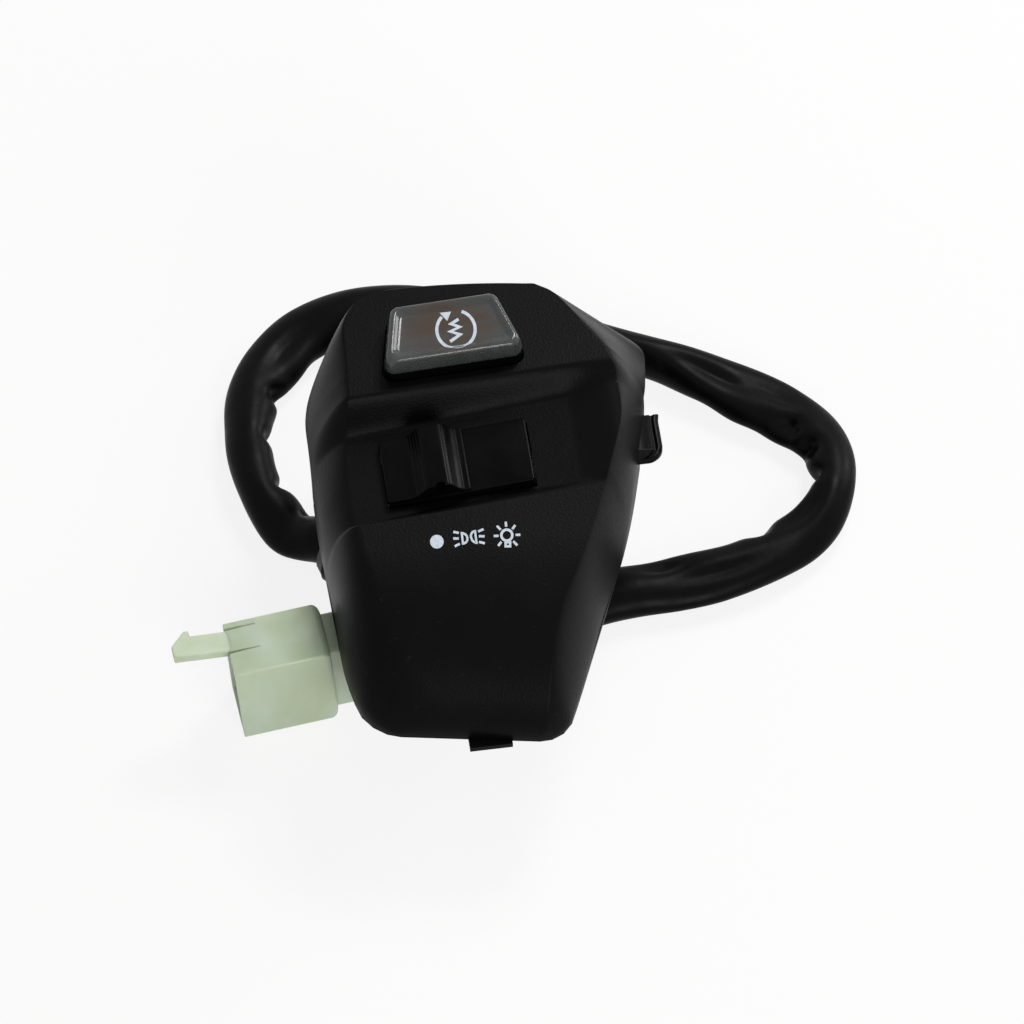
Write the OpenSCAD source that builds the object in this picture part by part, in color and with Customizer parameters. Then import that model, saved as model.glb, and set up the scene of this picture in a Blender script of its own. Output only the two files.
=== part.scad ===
// Handlebar switch cluster: a two-shell housing that clamps a handlebar, with a start
// button, a three-place lighting slider, a sleeved harness and a six-way plug.
// Frame: origin on the bar axis at the middle of the clamp, +X along the bar,
// +Y toward the start button's end, +Z out of the front face. Millimetres.

/* [Bar clamp] */
// Diameter of the handlebar
bar_d = 22.2; // [20:0.1:25.4]
// Length of the clamp bore along the bar
clamp_l = 40; // [34:1:44]
// Wall beside the bar at the clamp hump
clamp_wall = 3.6; // [3:0.1:5]
// Depth of the flat rest land below the bar axis
rest_drop = 20.5; // [20.5:0.5:24]
// Extra radius where the bar passes the outer walls
bar_gap = 1; // [0.6:0.1:1.5]

/* [Housing] */
// Height of the parting plane above the bar axis
part_z = 6; // [4:0.5:8]
// Reach of the housing above the bar axis
body_top = 21.6; // [20:0.2:22.6]
// Reach of the housing below the bar axis
body_bottom = 74; // [68:0.5:84]
// Reach of the rim to the left
left_reach = 34; // [33:0.5:38]
// Reach of the rim to the right
right_reach = 36; // [34:0.5:40]
// Wall of the shells
wall = 2.2; // [1.8:0.1:2.6]
// Plan radius of the rim's upper left corner
corner_tl = 16; // [10:0.5:18]
// Plan radius of the rim's upper right corner
corner_tr = 9.2; // [4:0.2:10]
// Plan radius of the rim's lower left corner
corner_bl = 6.4; // [5:0.2:12]
// Plan radius of the rim's lower right corner
corner_br = 5; // [3:0.5:8]
// Plan radius of the deck's upper left corner
deck_corner = 10; // [6:0.5:12]
// Slant of the top edge, per mm of width
top_slant = 0.138; // [0.1:0.002:0.16]
// Slant of the bottom edge, per mm of width
low_slant = 0.18; // [0.12:0.005:0.24]
// Inward draft of the rear pan, per mm of depth
pan_draft = 0.72; // [0.7:0.01:0.8]

/* [Front face] */
// Height of the start deck above the parting plane
deck_h = 25; // [24:0.5:30]
// Height of the slider valley at the slider's middle
valley_h = 18.8; // [18:0.2:21]
// Sideways lean of the valley, degrees
valley_lean = 4; // [0:0.5:6]
// Height of the ledge under the slider
ledge_h = 21.3; // [20:0.1:23]
// Fall of the lower face from the ledge, per mm
ledge_fall = 0.06; // [0:0.01:0.12]
// Place of the crease between deck and valley
crease_y = -6.2; // [-6.8:0.1:-6]
// Width of the crease
crease_w = 5.4; // [4.4:0.1:5.6]
// Place of the ledge
ledge_y = -30.2; // [-34:0.1:-29.5]
// Width of the ledge's step
ledge_w = 3; // [2:0.1:4]
// Start of the rounded lower end below the bar axis
dome_y = 40; // [38:0.5:46]
// Rounding of the top end
top_round = 2.5; // [1.5:0.1:2.8]
// Rise of the bank at the right of the valley
bank_h = 2; // [0:0.1:3]

/* [Start button] */
// Middle of the button along the bar
start_x = -4.7; // [-6:0.1:-4]
// Middle of the button across the bar
start_y = 5.3; // [5:0.1:5.6]
// Width of the cap at its upper edge
cap_top_w = 22.6; // [20:0.1:24]
// Width of the cap at its lower edge
cap_low_w = 27.6; // [25:0.1:28]
// Depth of the cap across the bar
cap_d = 14; // [12:0.1:14.2]
// Height of the skirt above the deck
skirt_h = 2; // [1:0.1:3]
// Height of the lens
lens_h = 4; // [3:0.1:5]
// Slope of the lens's sides, per side
lens_bevel = 0.9; // [0.4:0.1:1.4]
// Press travel
press = 3; // [2:0.1:3.2]
// Clearance between the cap and its window
cap_gap = 0.5; // [0.3:0.05:0.8]
// Overhang of the plunger's flange under the shell
flange = 1.1; // [0.8:0.1:1.4]
// Diameter of the plunger's stem
stem_d = 6; // [5:0.1:7]
// Running clearance of the stem
stem_gap = 0.05; // [0.02:0.01:0.08]

/* [Light slider] */
// Middle of the slider window along the bar
win_x = -6.6; // [-7:0.1:-6]
// Middle of the slider window across the bar
win_y = -20.2; // [-20.4:0.1:-20]
// Top of the fixed plate above the parting plane
plate_h = 20.3; // [20:0.1:22]
// Sideways lean of the slider, degrees
slider_lean = 7; // [4:0.5:8]
// Length of the window
win_l = 29.8; // [29:0.1:31]
// Width of the window
win_w = 15.5; // [15:0.1:16]
// Clearance of the plate in the window
win_gap = 0.25; // [0.15:0.05:0.4]
// Length of the knob
knob_l = 16.6; // [15:0.1:17]
// Height of the knob's wing
wing_h = 1.2; // [1:0.1:1.6]
// Height of the knob's ridge
ridge_h = 3.8; // [3:0.1:5]
// Step between two places of the slider
slide_step = 6.3; // [5:0.1:6.4]
// Running clearance of the slider
slide_gap = 0.1; // [0.05:0.01:0.2]

/* [Harness] */
// Diameter of the sleeve
sleeve_d = 9; // [8:0.1:9]
// Outer diameter of the gland
gland_d = 11.4; // [11:0.1:11.8]

/* [Plug] */
// Length of the plug's box
plug_l = 19.5; // [18:0.1:22]
// Width of the plug's box
plug_w = 12.9; // [11.5:0.1:14]
// Height of the plug's box
plug_h = 22.5; // [20:0.1:23.5]
// Wall of the plug's box
plug_wall = 1.3; // [1:0.1:1.6]
// Width of the latch arm
latch_w = 4.7; // [3.5:0.1:5.2]
// Reach of the latch arm past the mouth
latch_reach = 11; // [8:0.5:12]

/* [Hidden] */

bar_r = bar_d / 2;
floor_z = -rest_drop;
pan_z = floor_z + sleeve_d + 0.3;
deck_z = part_z + deck_h;
win_z = part_z + plate_h;

// Rim and face edges: [place, share of the reach], place -1 at the bottom and 1 at the top
right_rim = [[-1, 0.205], [-0.84, 0.342], [-0.63, 0.522], [-0.473, 0.67], [-0.346, 0.764],
    [-0.194, 0.853], [-0.02, 0.935], [0.41, 0.978], [0.8, 0.98], [1, 0.97]];
left_rim = [[-1, 0.913], [-0.8, 0.986], [-0.55, 0.997], [-0.3, 1.014], [-0.1, 1.006],
    [0.2, 0.991], [0.6, 0.915], [1, 0.81]];
left_edge = [[-1, 0.45], [-0.8, 0.68], [-0.57, 0.79], [-0.44, 0.82], [-0.19, 0.82],
    [-0.03, 0.765], [0.65, 0.735], [1, 0.7]];
right_edge = [[-1, 0.1], [-0.75, 0.25], [-0.58, 0.44], [-0.44, 0.57], [-0.3, 0.686],
    [-0.2, 0.75], [-0.07, 0.758], [0, 0.73], [0.27, 0.64], [0.63, 0.54],
    [0.8, 0.475], [0.9, 0.385], [1, 0.32]];

// Counts of the shell's grid
wall_n = 7;
face_n = 10;
dome_n = 9;
mid_n = 24;
top_n = 4;
row_n = 2 * wall_n + face_n + 1;
flank_form = 1.3;
// Upright foot of the right flank, which reaches over the bar's passage
skirt_low = 0.8;
skirt_rise = 5.6;

function unit(t) = max(0, min(1, t));
function smooth(t) = let (c = unit(t)) c * c * (3 - 2 * c);
function rise(k, i) = let (a = max(i - 1, 0), b = min(i + 1, len(k) - 1))
    (k[b][1] - k[a][1]) / (k[b][0] - k[a][0]);
function span(k, t, i = 0) = (i >= len(k) - 2 || t < k[i + 1][0]) ? i : span(k, t, i + 1);
// Cubic curve through the rows of a list
function curve(k, t) = let (i = span(k, t), h = k[i + 1][0] - k[i][0], u = unit((t - k[i][0]) / h))
    k[i][1] * (1 + 2 * u) * pow(1 - u, 2) + rise(k, i) * h * u * pow(1 - u, 2)
    + k[i + 1][1] * u * u * (3 - 2 * u) - rise(k, i + 1) * h * u * u * (1 - u);

function top_end(inset) = body_top - inset;
function bottom_end(inset) = body_bottom - inset;
function place(y, inset) = y < 0 ? y / bottom_end(inset) : y / top_end(inset);
// How far a round corner of radius r pulls in at a distance d from its end
function corner(r, d) = d >= r ? 0 : r - sqrt(max(0, r * r - pow(r - max(d, 0), 2)));
function rim_l(y, inset) = -(left_reach * curve(left_rim, place(y, inset)) - inset - corner(max(corner_tl - inset, 1), top_end(inset) - y)
    - corner(max(corner_bl - inset, 1), y + bottom_end(inset)));
function rim_r(y, inset) = right_reach * curve(right_rim, place(y, inset)) - inset
    - corner(max(corner_tr - inset, 1), top_end(inset) - y)
    - corner(max(corner_br - inset, 1), y + bottom_end(inset));
function edge_l(y, inset) = max(rim_l(y, inset) + 0.4, -(left_reach * curve(left_edge, place(y, inset))
    - 0.8 * inset - corner(max(deck_corner - inset, 1), top_end(inset) - 0.86 * top_round - y)));
function edge_r(y, inset) = min(rim_r(y, inset) - 0.4,
    right_reach * curve(right_edge, place(y, inset)) - 0.8 * inset);
// The top edge bows: its slope grows along the deck's width and is steady beyond it
bow_x = [-17, 12];
function bow(x) = let (c = max(bow_x[0], min(bow_x[1], x)))
    (top_slant - 0.043) * c + 0.00325 * c * c + top_slant * (x - c);
function slant(x, y) = -x * low_slant * smooth((-30 - y) / (body_bottom - 30))
    - bow(x) * smooth((y - 4) / (body_top - 4));

// Height of the face above the parting plane
function valley(x) = valley_h + tan(valley_lean) * (x - win_x) + bank_h * smooth((x - 17) / 9);
function crease(x, y) = smooth((y - crease_y - 0.05 * x) / crease_w + 0.5);
function ledge(x, y) = smooth((ledge_y + 0.07 * x - y) / ledge_w + 0.5);
function face_h(x, y) = let (d = crease(x, y), l = ledge(x, y))
    valley(x) * (1 - d) * (1 - l) + deck_h * d
    + (ledge_h - ledge_fall * max(0, ledge_y - y)) * l;
function end_f(y, inset) = y < -dome_y
    ? sqrt(max(0, 1 - pow((-dome_y - y) / (bottom_end(inset) - dome_y), 2)))
    : sqrt(max(0, 1 - pow(max(0, y - top_end(inset) + top_round) / top_round, 2)));

// Roundness of the left flank: nearly flat beside the deck, full beside the lower face
function left_form(y) = 1.3 + 0.9 * smooth((-4 - y) / 40);
// Roundness of the right flank, which ends straight at the top
function right_form(y) = flank_form - (flank_form - 1) * smooth(y / 14);
function foot_h(y) = skirt_low + skirt_rise * smooth((y + 34) / 14);

function shell_rows(inset) = concat(
    [for (i = [0:dome_n - 1]) -dome_y - (bottom_end(inset) - dome_y) * cos(90 * i / dome_n)],
    [for (i = [0:mid_n]) -dome_y + (top_end(inset) - top_round + dome_y) * i / mid_n],
    [for (i = [1:top_n]) top_end(inset) - top_round + top_round * sin(90 * i / top_n)]);

function shell_point(x, y, h) = [x, y + slant(x, y), part_z + h];
function shell_row(y, inset) = let (xl = rim_l(y, inset), el = edge_l(y, inset), er = edge_r(y, inset),
    xr = rim_r(y, inset), f = end_f(y, inset), hl = face_h(el, y) - inset, hr = face_h(er, y) - inset,
    p = 2 / left_form(y), q = 2 / right_form(y), k = foot_h(y))
    concat(
    [for (i = [0:wall_n - 1]) let (a = 90 * max(i - 1, 0) / (wall_n - 1))
        shell_point(el + (xl - el) * pow(cos(a), p), y, i == 0 ? 0 : f * (k + (hl - k) * pow(sin(a), p)))],
    [for (i = [0:face_n]) let (x = el + (er - el) * i / face_n)
        shell_point(x, y, (face_h(x, y) - inset) * f)],
    [for (i = [wall_n - 1:-1:0]) let (a = 90 * max(i - 1, 0) / (wall_n - 1))
        shell_point(er + (xr - er) * pow(cos(a), q), y, i == 0 ? 0 : f * (k + (hr - k) * pow(sin(a), q)))]);

function rim_outline(inset) = let (ys = shell_rows(inset)) concat(
    [for (y = ys) let (x = rim_l(y, inset)) [x, y + slant(x, y)]],
    [for (i = [len(ys) - 1:-1:0]) let (y = ys[i], x = rim_r(y, inset)) [x, y + slant(x, y)]]);

// Two triangles of a four-sided patch
function patch(a, b, c, d) = [[a, b, c], [a, c, d]];

module shell_skin() {
    outer_ys = shell_rows(0);
    inner_ys = shell_rows(wall);
    m = len(outer_ys);
    n = row_n;
    o = m * n;
    points = concat([for (y = outer_ys) each shell_row(y, 0)], [for (y = inner_ys) each shell_row(y, wall)]);
    faces = concat(
        [for (j = [0:m - 2]) for (i = [0:n - 2])
            each patch(j * n + i, (j + 1) * n + i, (j + 1) * n + i + 1, j * n + i + 1)],
        [for (j = [0:m - 2]) for (i = [0:n - 2])
            each patch(o + j * n + i, o + j * n + i + 1, o + (j + 1) * n + i + 1, o + (j + 1) * n + i)],
        [for (j = [0:m - 2]) each patch(j * n, o + j * n, o + (j + 1) * n, (j + 1) * n)],
        [for (j = [0:m - 2]) each patch(o + j * n + n - 1, j * n + n - 1, (j + 1) * n + n - 1, o + (j + 1) * n + n - 1)],
        [for (i = [0:n - 2]) each patch(i, i + 1, o + i + 1, o + i)],
        [for (i = [0:n - 2]) each patch(o + (m - 1) * n + i, o + (m - 1) * n + i + 1, (m - 1) * n + i + 1, (m - 1) * n + i)]);
    polyhedron(points = points, faces = faces, convexity = 8);
}

// Tube of a round section along points, with flat ends
function dir(p, i) = let (a = p[max(i - 1, 0)], b = p[min(i + 1, len(p) - 1)], v = b - a) v / norm(v);
function side(t) = let (s = cross([0, 0, 1], t)) norm(s) < 0.01 ? [1, 0, 0] : s / norm(s);
function ring(p, i, r, n) = let (t = dir(p, i), s = side(t), u = cross(t, s))
    [for (k = [0:n - 1]) p[i] + r * (cos(360 * k / n) * s + sin(360 * k / n) * u)];
module tube(p, r, n) {
    m = len(p);
    points = [for (i = [0:m - 1]) each ring(p, i, r, n)];
    faces = concat(
        [for (i = [0:m - 2]) for (k = [0:n - 1]) let (q = (k + 1) % n)
            each patch(i * n + k, (i + 1) * n + k, (i + 1) * n + q, i * n + q)],
        [for (k = [1:n - 2]) [0, k, k + 1]],
        [for (k = [1:n - 2]) [(m - 1) * n, (m - 1) * n + k + 1, (m - 1) * n + k]]);
    polyhedron(points = points, faces = faces, convexity = 6);
}

// Bar saddle ribs and webs of the front shell
rib_t = 3;
rib_top = bar_r + 2.9;
web_t = 1.5;
web_top = 18.5;
web_hi = bar_r + 1.9;
web_lo = -bar_r - 0.2 - web_t;

// Screws that join the shells: [x, y, height of the head's seat]
screw_r = 1.5;
screw_y = 14.6;
shell_screws = [[-22, screw_y, 0.5], [22, screw_y, 0.5], [-9, -52, pan_z + 3]];
boss_r = 3.2;
boss_h = 10;

// Start button levels
flange_t = 1.2;
flange_gap = 0.3;
flange_z = deck_z - wall - flange_gap - flange_t;
lens_z = deck_z + skirt_h;
legend_t = 0.8;
spring_free = 6.2;
guide_top = flange_z - spring_free;
guide_t = 1.8;
bridge_t = 1;
bridge_z = guide_top - guide_t - 0.2 - bridge_t;
term_top = bridge_z - press - 0.1;
term_t = 0.7;
guide_low = term_top - term_t - 1;
ear_t = 2;
ear_off = cap_low_w / 2 + flange + 2.6;
ear_r = 2.2;
mod_screw_r = 1;

// Slider levels in its own leaning frame, origin at the middle of the fixed plate's top
slide_range = 2 * slide_step;
plate_t = 3.2;
knob_x = -win_l / 2 + win_gap;
slot_w = 5;
pin_l = 2.8;
pin_x = knob_x + 0.5;
car_x = knob_x + 0.2;
car_l = 12.4;
car_w = 9.1;
car_top = -plate_t - 0.2;
car_low = car_top - 5.6;
con_t = 0.6;
lt_top = car_low - con_t - 0.1;
lt_t = 0.8;
base_floor = lt_top - lt_t;
base_low = base_floor - 2.1;
base_in = car_w / 2 + 0.15;
base_w = win_w - 1.5;
base_x0 = knob_x - 2.4;
base_x1 = car_x + car_l + slide_range + 2.2;
lug_top = car_low + 3;
lug_l = base_x0 - ear_r - 0.4;
lug_r = win_l / 2 + ear_r + 0.3;
ball_r = 1.5;
ball_at = [car_x + 6.5, car_w / 2 - 0.35, car_low + 2.8];

module at_start(z) { translate([start_x, start_y, z]) children(); }
module at_slider() { translate([win_x, win_y, win_z]) rotate([0, -slider_lean, 0]) children(); }
function slider_point(p) = [win_x + p[0] * cos(slider_lean) - p[2] * sin(slider_lean), win_y + p[1],
    win_z + p[0] * sin(slider_lean) + p[2] * cos(slider_lean)];
// Height in the slider's frame of the middle of the shell's wall above a lug
function lug_seat(x) = (part_z + face_h(win_x + x * cos(slider_lean), win_y) - wall / 2
    - win_z - x * sin(slider_lean)) / cos(slider_lean);

// Corners of the start cap's rounded trapezoid
cap_r = 2;
cap_corners = [for (s = [-1, 1]) each [[s * (cap_low_w / 2 - cap_r), cap_r - cap_d / 2],
    [s * (cap_top_w / 2 - cap_r), cap_d / 2 - cap_r]]];
// Outline of the cap, grown by g
cap_turn = 2.5;
module cap_outline(g) {
    rotate(cap_turn) hull() for (c = cap_corners) translate(c) circle(r = max(cap_r + g, 0.1), $fn = 32);
}
// Posts at the corners of the cap, of height h and radius r
module cap_posts(z, h, r) {
    at_start(z) rotate([0, 0, cap_turn]) for (c = cap_corners) translate(c) cylinder(r = r, h = h, $fn = 32);
}

module box(x, y, z) {
    translate([x[0], y[0], z[0]]) cube([x[1] - x[0], y[1] - y[0], z[1] - z[0]]);
}

module along_x(x0, x1, r) { translate([x0, 0, 0]) rotate([0, 90, 0]) cylinder(r = r, h = x1 - x0, $fn = 96); }

// Side clip's tongue in the right flank
clip_y = -10.5;
clip_l = 10.4;
clip_t = 2;
clip_z = bar_r + 0.5;
clip_in = 28.2;
clip_out = right_reach;
module clip_tongue(g) {
    translate([0, 0, clip_z - g]) linear_extrude(clip_t + 2 * g) hull() {
        translate([clip_in, clip_y - clip_l / 2 - g]) square([1, clip_l + 2 * g]);
        for (s = [-1, 1]) translate([clip_out - 3, clip_y + s * (clip_l / 2 - 3)]) circle(r = 3 + g, $fn = 32);
    }
}

module front_shell() color("#2b2b2c") difference() {
    union() {
        shell_skin();
        for (s = [-1, 1]) box([s * (clamp_l / 2 - rib_t / 2) - rib_t / 2, s * (clamp_l / 2 - rib_t / 2) + rib_t / 2],
            [web_lo + 0.1, web_hi + 0.1], [part_z, rib_top]);
        box([rim_l(web_hi, 0) + 2.9, rim_r(web_hi, 0) - 7.6], [web_hi, web_hi + web_t], [part_z, web_top]);
        box([rim_l(web_lo, 0) + 2.9, rim_r(web_lo, 0) - 3.5], [web_lo, web_lo + web_t], [part_z, web_top]);
        for (p = shell_screws) translate([p[0], p[1], part_z])
            cylinder(r = boss_r, h = p[1] < 0 ? face_h(p[0], p[1]) * end_f(p[1], 0) - 0.7 * wall : boss_h, $fn = 48);
        for (s = [-1, 1]) translate([start_x + s * ear_off, start_y, guide_top])
            cylinder(r = ear_r, h = deck_z - wall / 2 - guide_top, $fn = 48);
        at_slider() for (x = [lug_l, lug_r]) translate([x, 0, lug_top])
            cylinder(r = ear_r, h = lug_seat(x) - lug_top, $fn = 48);
    }
    along_x(-clamp_l / 2 - 0.01, clamp_l / 2 + 0.01, bar_r);
    along_x(-60, -clamp_l / 2, bar_r + bar_gap);
    along_x(clamp_l / 2, 60, bar_r + bar_gap);
    at_start(flange_z - 0.2) linear_extrude(30) cap_outline(cap_gap);
    at_slider() box([-win_l / 2, win_l / 2], [-win_w / 2, win_w / 2], [lug_top, 10]);
    for (p = shell_screws) translate([p[0], p[1], part_z - 1]) cylinder(r = screw_r, h = boss_h, $fn = 48);
    for (s = [-1, 1]) translate([start_x + s * ear_off, start_y, guide_top - 1])
        cylinder(r = mod_screw_r, h = 6, $fn = 48);
    at_slider() for (x = [lug_l, lug_r]) translate([x, 0, lug_top - 1])
        cylinder(r = mod_screw_r, h = 3, $fn = 48);
    box([-30, -23], [web_lo - 1, web_lo + web_t + 1], [part_z + 4, web_top + 1]);
    clip_tongue(0.05);
}

module side_clip() color("#0c0c0d") clip_tongue(0);

// Rear spout that holds the gland
spout_at = [5 - left_reach, -10.5, floor_z + 6.9];
spout_dir = [-0.75, 0.66, 0];
spout_turn = atan2(spout_dir[1], spout_dir[0]);
spout_l = 14;
spout_r = 6.8;
gland_in = 7;
gland_out = 2.2;
module at_spout() { translate(spout_at) rotate([0, 0, spout_turn]) rotate([0, 90, 0]) children(); }
pass_at = spout_at - (spout_l - 4) * [cos(spout_turn), sin(spout_turn), 0];
pass_r = 3.6;

module pan(inset, z0) {
    d = part_z - pan_z;
    hull() {
        translate([0, 0, part_z - 1 - z0]) linear_extrude(1 + 2 * z0) polygon(rim_outline(inset));
        translate([0, 0, pan_z + inset]) linear_extrude(1) polygon(rim_outline(inset + pan_draft * d));
    }
}

hump_w = bar_r + clamp_wall;
hump_foot = 10;
module hump() {
    rotate([90, 0, 90]) translate([0, 0, -clamp_l / 2]) linear_extrude(clamp_l)
        polygon([[-hump_w, part_z], [-hump_w, -6], [-hump_foot, floor_z], [hump_foot, floor_z],
            [hump_w, -6], [hump_w, part_z]]);
}

// Step that lets the bar into the saddle from the front
slot_step = 0.05;
tab_x = [-11.5, -3];
tab_reach = 0.5;
module rear_shell() color("#252526") difference() {
    union() {
        difference() {
            pan(0, 0);
            pan(wall, 0.5);
        }
        hump();
        at_spout() translate([0, 0, -spout_l]) cylinder(r = spout_r, h = spout_l, $fn = 64);
        translate([pass_at[0], pass_at[1], spout_at[2]]) cylinder(r = pass_r + 1.6, h = pan_z + wall - spout_at[2], $fn = 48);
        for (p = shell_screws) translate([p[0], p[1], p[2] - 2.6])
            cylinder(r = boss_r + 0.3, h = part_z - p[2] + 2.6, $fn = 48);
        box(tab_x, [-body_bottom - tab_reach, -body_bottom + 4], [part_z - 1.6, part_z - 0.4]);
    }
    along_x(-clamp_l / 2 - 0.01, clamp_l / 2 + 0.01, bar_r);
    box([-clamp_l / 2 - 0.01, clamp_l / 2 + 0.01], [-bar_r - slot_step, bar_r + slot_step], [0, part_z + 1]);
    for (s = [-1, 1]) {
        along_x(s < 0 ? -60 : clamp_l / 2, s < 0 ? -clamp_l / 2 : 60, bar_r + bar_gap);
        box(s < 0 ? [-60, -clamp_l / 2] : [clamp_l / 2, 60], [-1, 1] * (bar_r + bar_gap + slot_step), [0, part_z + 1]);
    }
    at_spout() translate([0, 0, -gland_in]) cylinder(r = gland_d / 2, h = gland_in + 5, $fn = 64);
    at_spout() translate([0, 0, 4 - spout_l]) cylinder(r = pass_r, h = spout_l, $fn = 48);
    translate([pass_at[0], pass_at[1], spout_at[2]]) cylinder(r = pass_r - 0.3, h = part_z - spout_at[2], $fn = 48);
    for (p = shell_screws) {
        translate([p[0], p[1], p[2] - 6]) cylinder(r = 2.9, h = 6, $fn = 48);
        translate([p[0], p[1], p[2] - 1]) cylinder(r = screw_r + 0.2, h = 40, $fn = 48);
    }
}

module housing_screws() color("#9a9a98") for (p = shell_screws) translate([p[0], p[1], p[2]]) {
    difference() {
        translate([0, 0, -2.2]) cylinder(r = 2.7, h = 2.2, $fn = 48);
        for (a = [0, 90]) rotate([0, 0, a]) box([-1.7, 1.7], [-0.35, 0.35], [-3, -1]);
    }
    cylinder(r = screw_r, h = part_z + boss_h - 2 - p[2], $fn = 48);
}

module cable_gland() color("#161616") at_spout() difference() {
    union() {
        translate([0, 0, -gland_in]) cylinder(r = gland_d / 2, h = gland_in, $fn = 64);
        cylinder(r1 = spout_r - 0.2, r2 = sleeve_d / 2 + 0.7, h = gland_out, $fn = 64);
    }
    translate([0, 0, -gland_in - 1]) cylinder(r = sleeve_d / 2, h = gland_in + gland_out + 2, $fn = 64);
}

module start_lens() color("#7d7a74") difference() {
    hull() {
        cap_posts(lens_z, 1.2, cap_r);
        cap_posts(lens_z + lens_h - 0.5, 0.5, cap_r - lens_bevel);
    }
    at_start(lens_z + lens_h - 0.5) linear_extrude(2) cap_outline(-lens_bevel - 1.5);
    at_start(lens_z - 1) linear_extrude(1.1 + legend_t) cap_outline(-1.7);
}

module start_legend_plate() color("#5a4a3c") at_start(lens_z) linear_extrude(legend_t) cap_outline(-1.9);

module start_plunger() color("#141414") {
    at_start(flange_z) linear_extrude(lens_z - flange_z) cap_outline(0);
    at_start(flange_z) linear_extrude(flange_t) cap_outline(flange);
    at_start(bridge_z + bridge_t) cylinder(d = stem_d, h = flange_z - bridge_z - bridge_t + 0.5, $fn = 64);
}

// Helical spring along Z from z0 to z1
module spring(r, wire, turns, z0, z1) {
    n = 12 * turns;
    tube([for (i = [0:n]) [r * cos(30 * i), r * sin(30 * i), z0 + wire + (z1 - z0 - 2 * wire) * i / n]], wire, 6);
}

module start_spring() color("#b9b9b4") at_start(0) spring(4.4, 0.4, 3, guide_top, flange_z);

guide_w = 14;
guide_d = 11;
module start_guide() color("#ded8c6") difference() {
    at_start(0) union() {
        box([-guide_w / 2, guide_w / 2], [-guide_d / 2, guide_d / 2], [guide_low, guide_top]);
        box([-ear_off - ear_r, ear_off + ear_r], [-3.5, 3.5], [guide_top - ear_t, guide_top]);
    }
    at_start(guide_low - 1) cylinder(d = stem_d + 2 * stem_gap, h = 30, $fn = 64);
    at_start(0) box([-guide_w / 2 + 1, guide_w / 2 - 1], [-20, 20], [term_top - term_t, guide_top - guide_t]);
    for (s = [-1, 1]) translate([start_x + s * ear_off, start_y, guide_top - 5])
        cylinder(r = mod_screw_r + 0.1, h = 10, $fn = 48);
}

bridge_l = 11;
module start_contact_bridge() color("#c49a4a") at_start(bridge_z) {
    box([-bridge_l / 2, bridge_l / 2], [-2, 2], [0, bridge_t]);
}

tail_y = -guide_d / 2 - 2.5;
module start_terminals() color("#c8a050") for (s = [-1, 1]) at_start(term_top - term_t) {
    box(s < 0 ? [-5.6, -2.8] : [3.4, 5.6], [tail_y, 2], [0, term_t]);
}

// Places of the six leads in the spout's passage
wire_r = 0.7;
function pass_point(k, z) = [pass_at[0] + 2.3 * cos(60 * k), pass_at[1] + 2.3 * sin(60 * k), z];
lead_end = spout_at[2] + 0.2;

// Leads that run from the start terminals over the bar to the spout
wire_z = term_top - term_t / 2;
module start_wires() color("#8a3a2a") for (s = [-1, 1]) {
    y = start_y + tail_y;
    o = 1.1 * s;
    z = wire_z + o + 1.4;
    k = s < 0 ? 2 : 1;
    tube([[start_x + 4.3 * s, y - 0.25, wire_z], [start_x + 4.3 * s, y - 0.7, wire_z], [start_x + 4 * s - 0.4, y - 2, z],
        [start_x + 2.5 * s - 3, y - 3.6, z], [-15, y - 5, z], [-22.5, y - 6.2, z],
        [-26 + o, web_lo + 1, z - 1], [-25.5 + o, web_lo - 3, wire_z - 6],
        [-23.5 + o, pass_at[1] + 2.2, 3], pass_point(k, pan_z + 4), pass_point(k, lead_end)], wire_r, 8);
}

// Slider knob profile along its travel
module knob_profile() {
    w = knob_l;
    polygon([[0, slide_gap], [0, wing_h], [5.6, wing_h], [8.4, ridge_h - 0.25], [8.9, ridge_h], [12.6, ridge_h],
        [13, ridge_h - 0.3], [w - 1, wing_h - 0.3], [w, wing_h - 0.3], [w, slide_gap]]);
}

module light_knob() color("#0e0e0f") at_slider() difference() {
    union() {
        translate([knob_x, win_w / 2 - win_gap, 0]) rotate([90, 0, 0])
            linear_extrude(win_w - 2 * win_gap) knob_profile();
        box([pin_x, pin_x + pin_l], [-slot_w / 2 + slide_gap, slot_w / 2 - slide_gap], [car_top, wing_h / 2]);
    }
    translate([knob_x + 10.8, -win_w / 2 + win_gap, wing_h]) cylinder(r = 0.9, h = 10, $fn = 48);
}

module light_slide_plate() color("#111112") at_slider() difference() {
    box([-win_l / 2 + win_gap, win_l / 2 - win_gap], [-win_w / 2 + win_gap, win_w / 2 - win_gap], [-plate_t, 0]);
    box([pin_x - 0.15, pin_x + pin_l + slide_range + 0.15], [-slot_w / 2, slot_w / 2], [-plate_t - 1, 1]);
}

module light_base() color("#d8cfb4") at_slider() difference() {
    union() {
        box([base_x0, base_x1], [-base_w / 2, base_w / 2], [base_low, -plate_t]);
        box([lug_l - ear_r, lug_r + ear_r], [-3, 3], [lug_top - ear_t, lug_top]);
    }
    box([base_x0 + 2, base_x1 - 1.8], [-base_in, base_in], [base_floor, 1]);
    box([ball_at[0] - 2, ball_at[0] + slide_range + 2], [0, base_in + 1.3], [ball_at[2] - 1.7, ball_at[2] + 1.7]);
    for (i = [0:2]) translate([ball_at[0] + i * slide_step, ball_at[1], ball_at[2] - 1.7])
        cylinder(r = ball_r + 0.3, h = 3.4, $fn = 48);
    for (i = [0:3]) box([lt_x(i) - 0.6, lt_x(i) + 0.6], [-1.6, 1.6], [base_low - 1, base_floor + 1]);
    for (x = [lug_l, lug_r]) translate([x, 0, lug_top - 5]) cylinder(r = mod_screw_r + 0.1, h = 10, $fn = 48);
}

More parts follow.
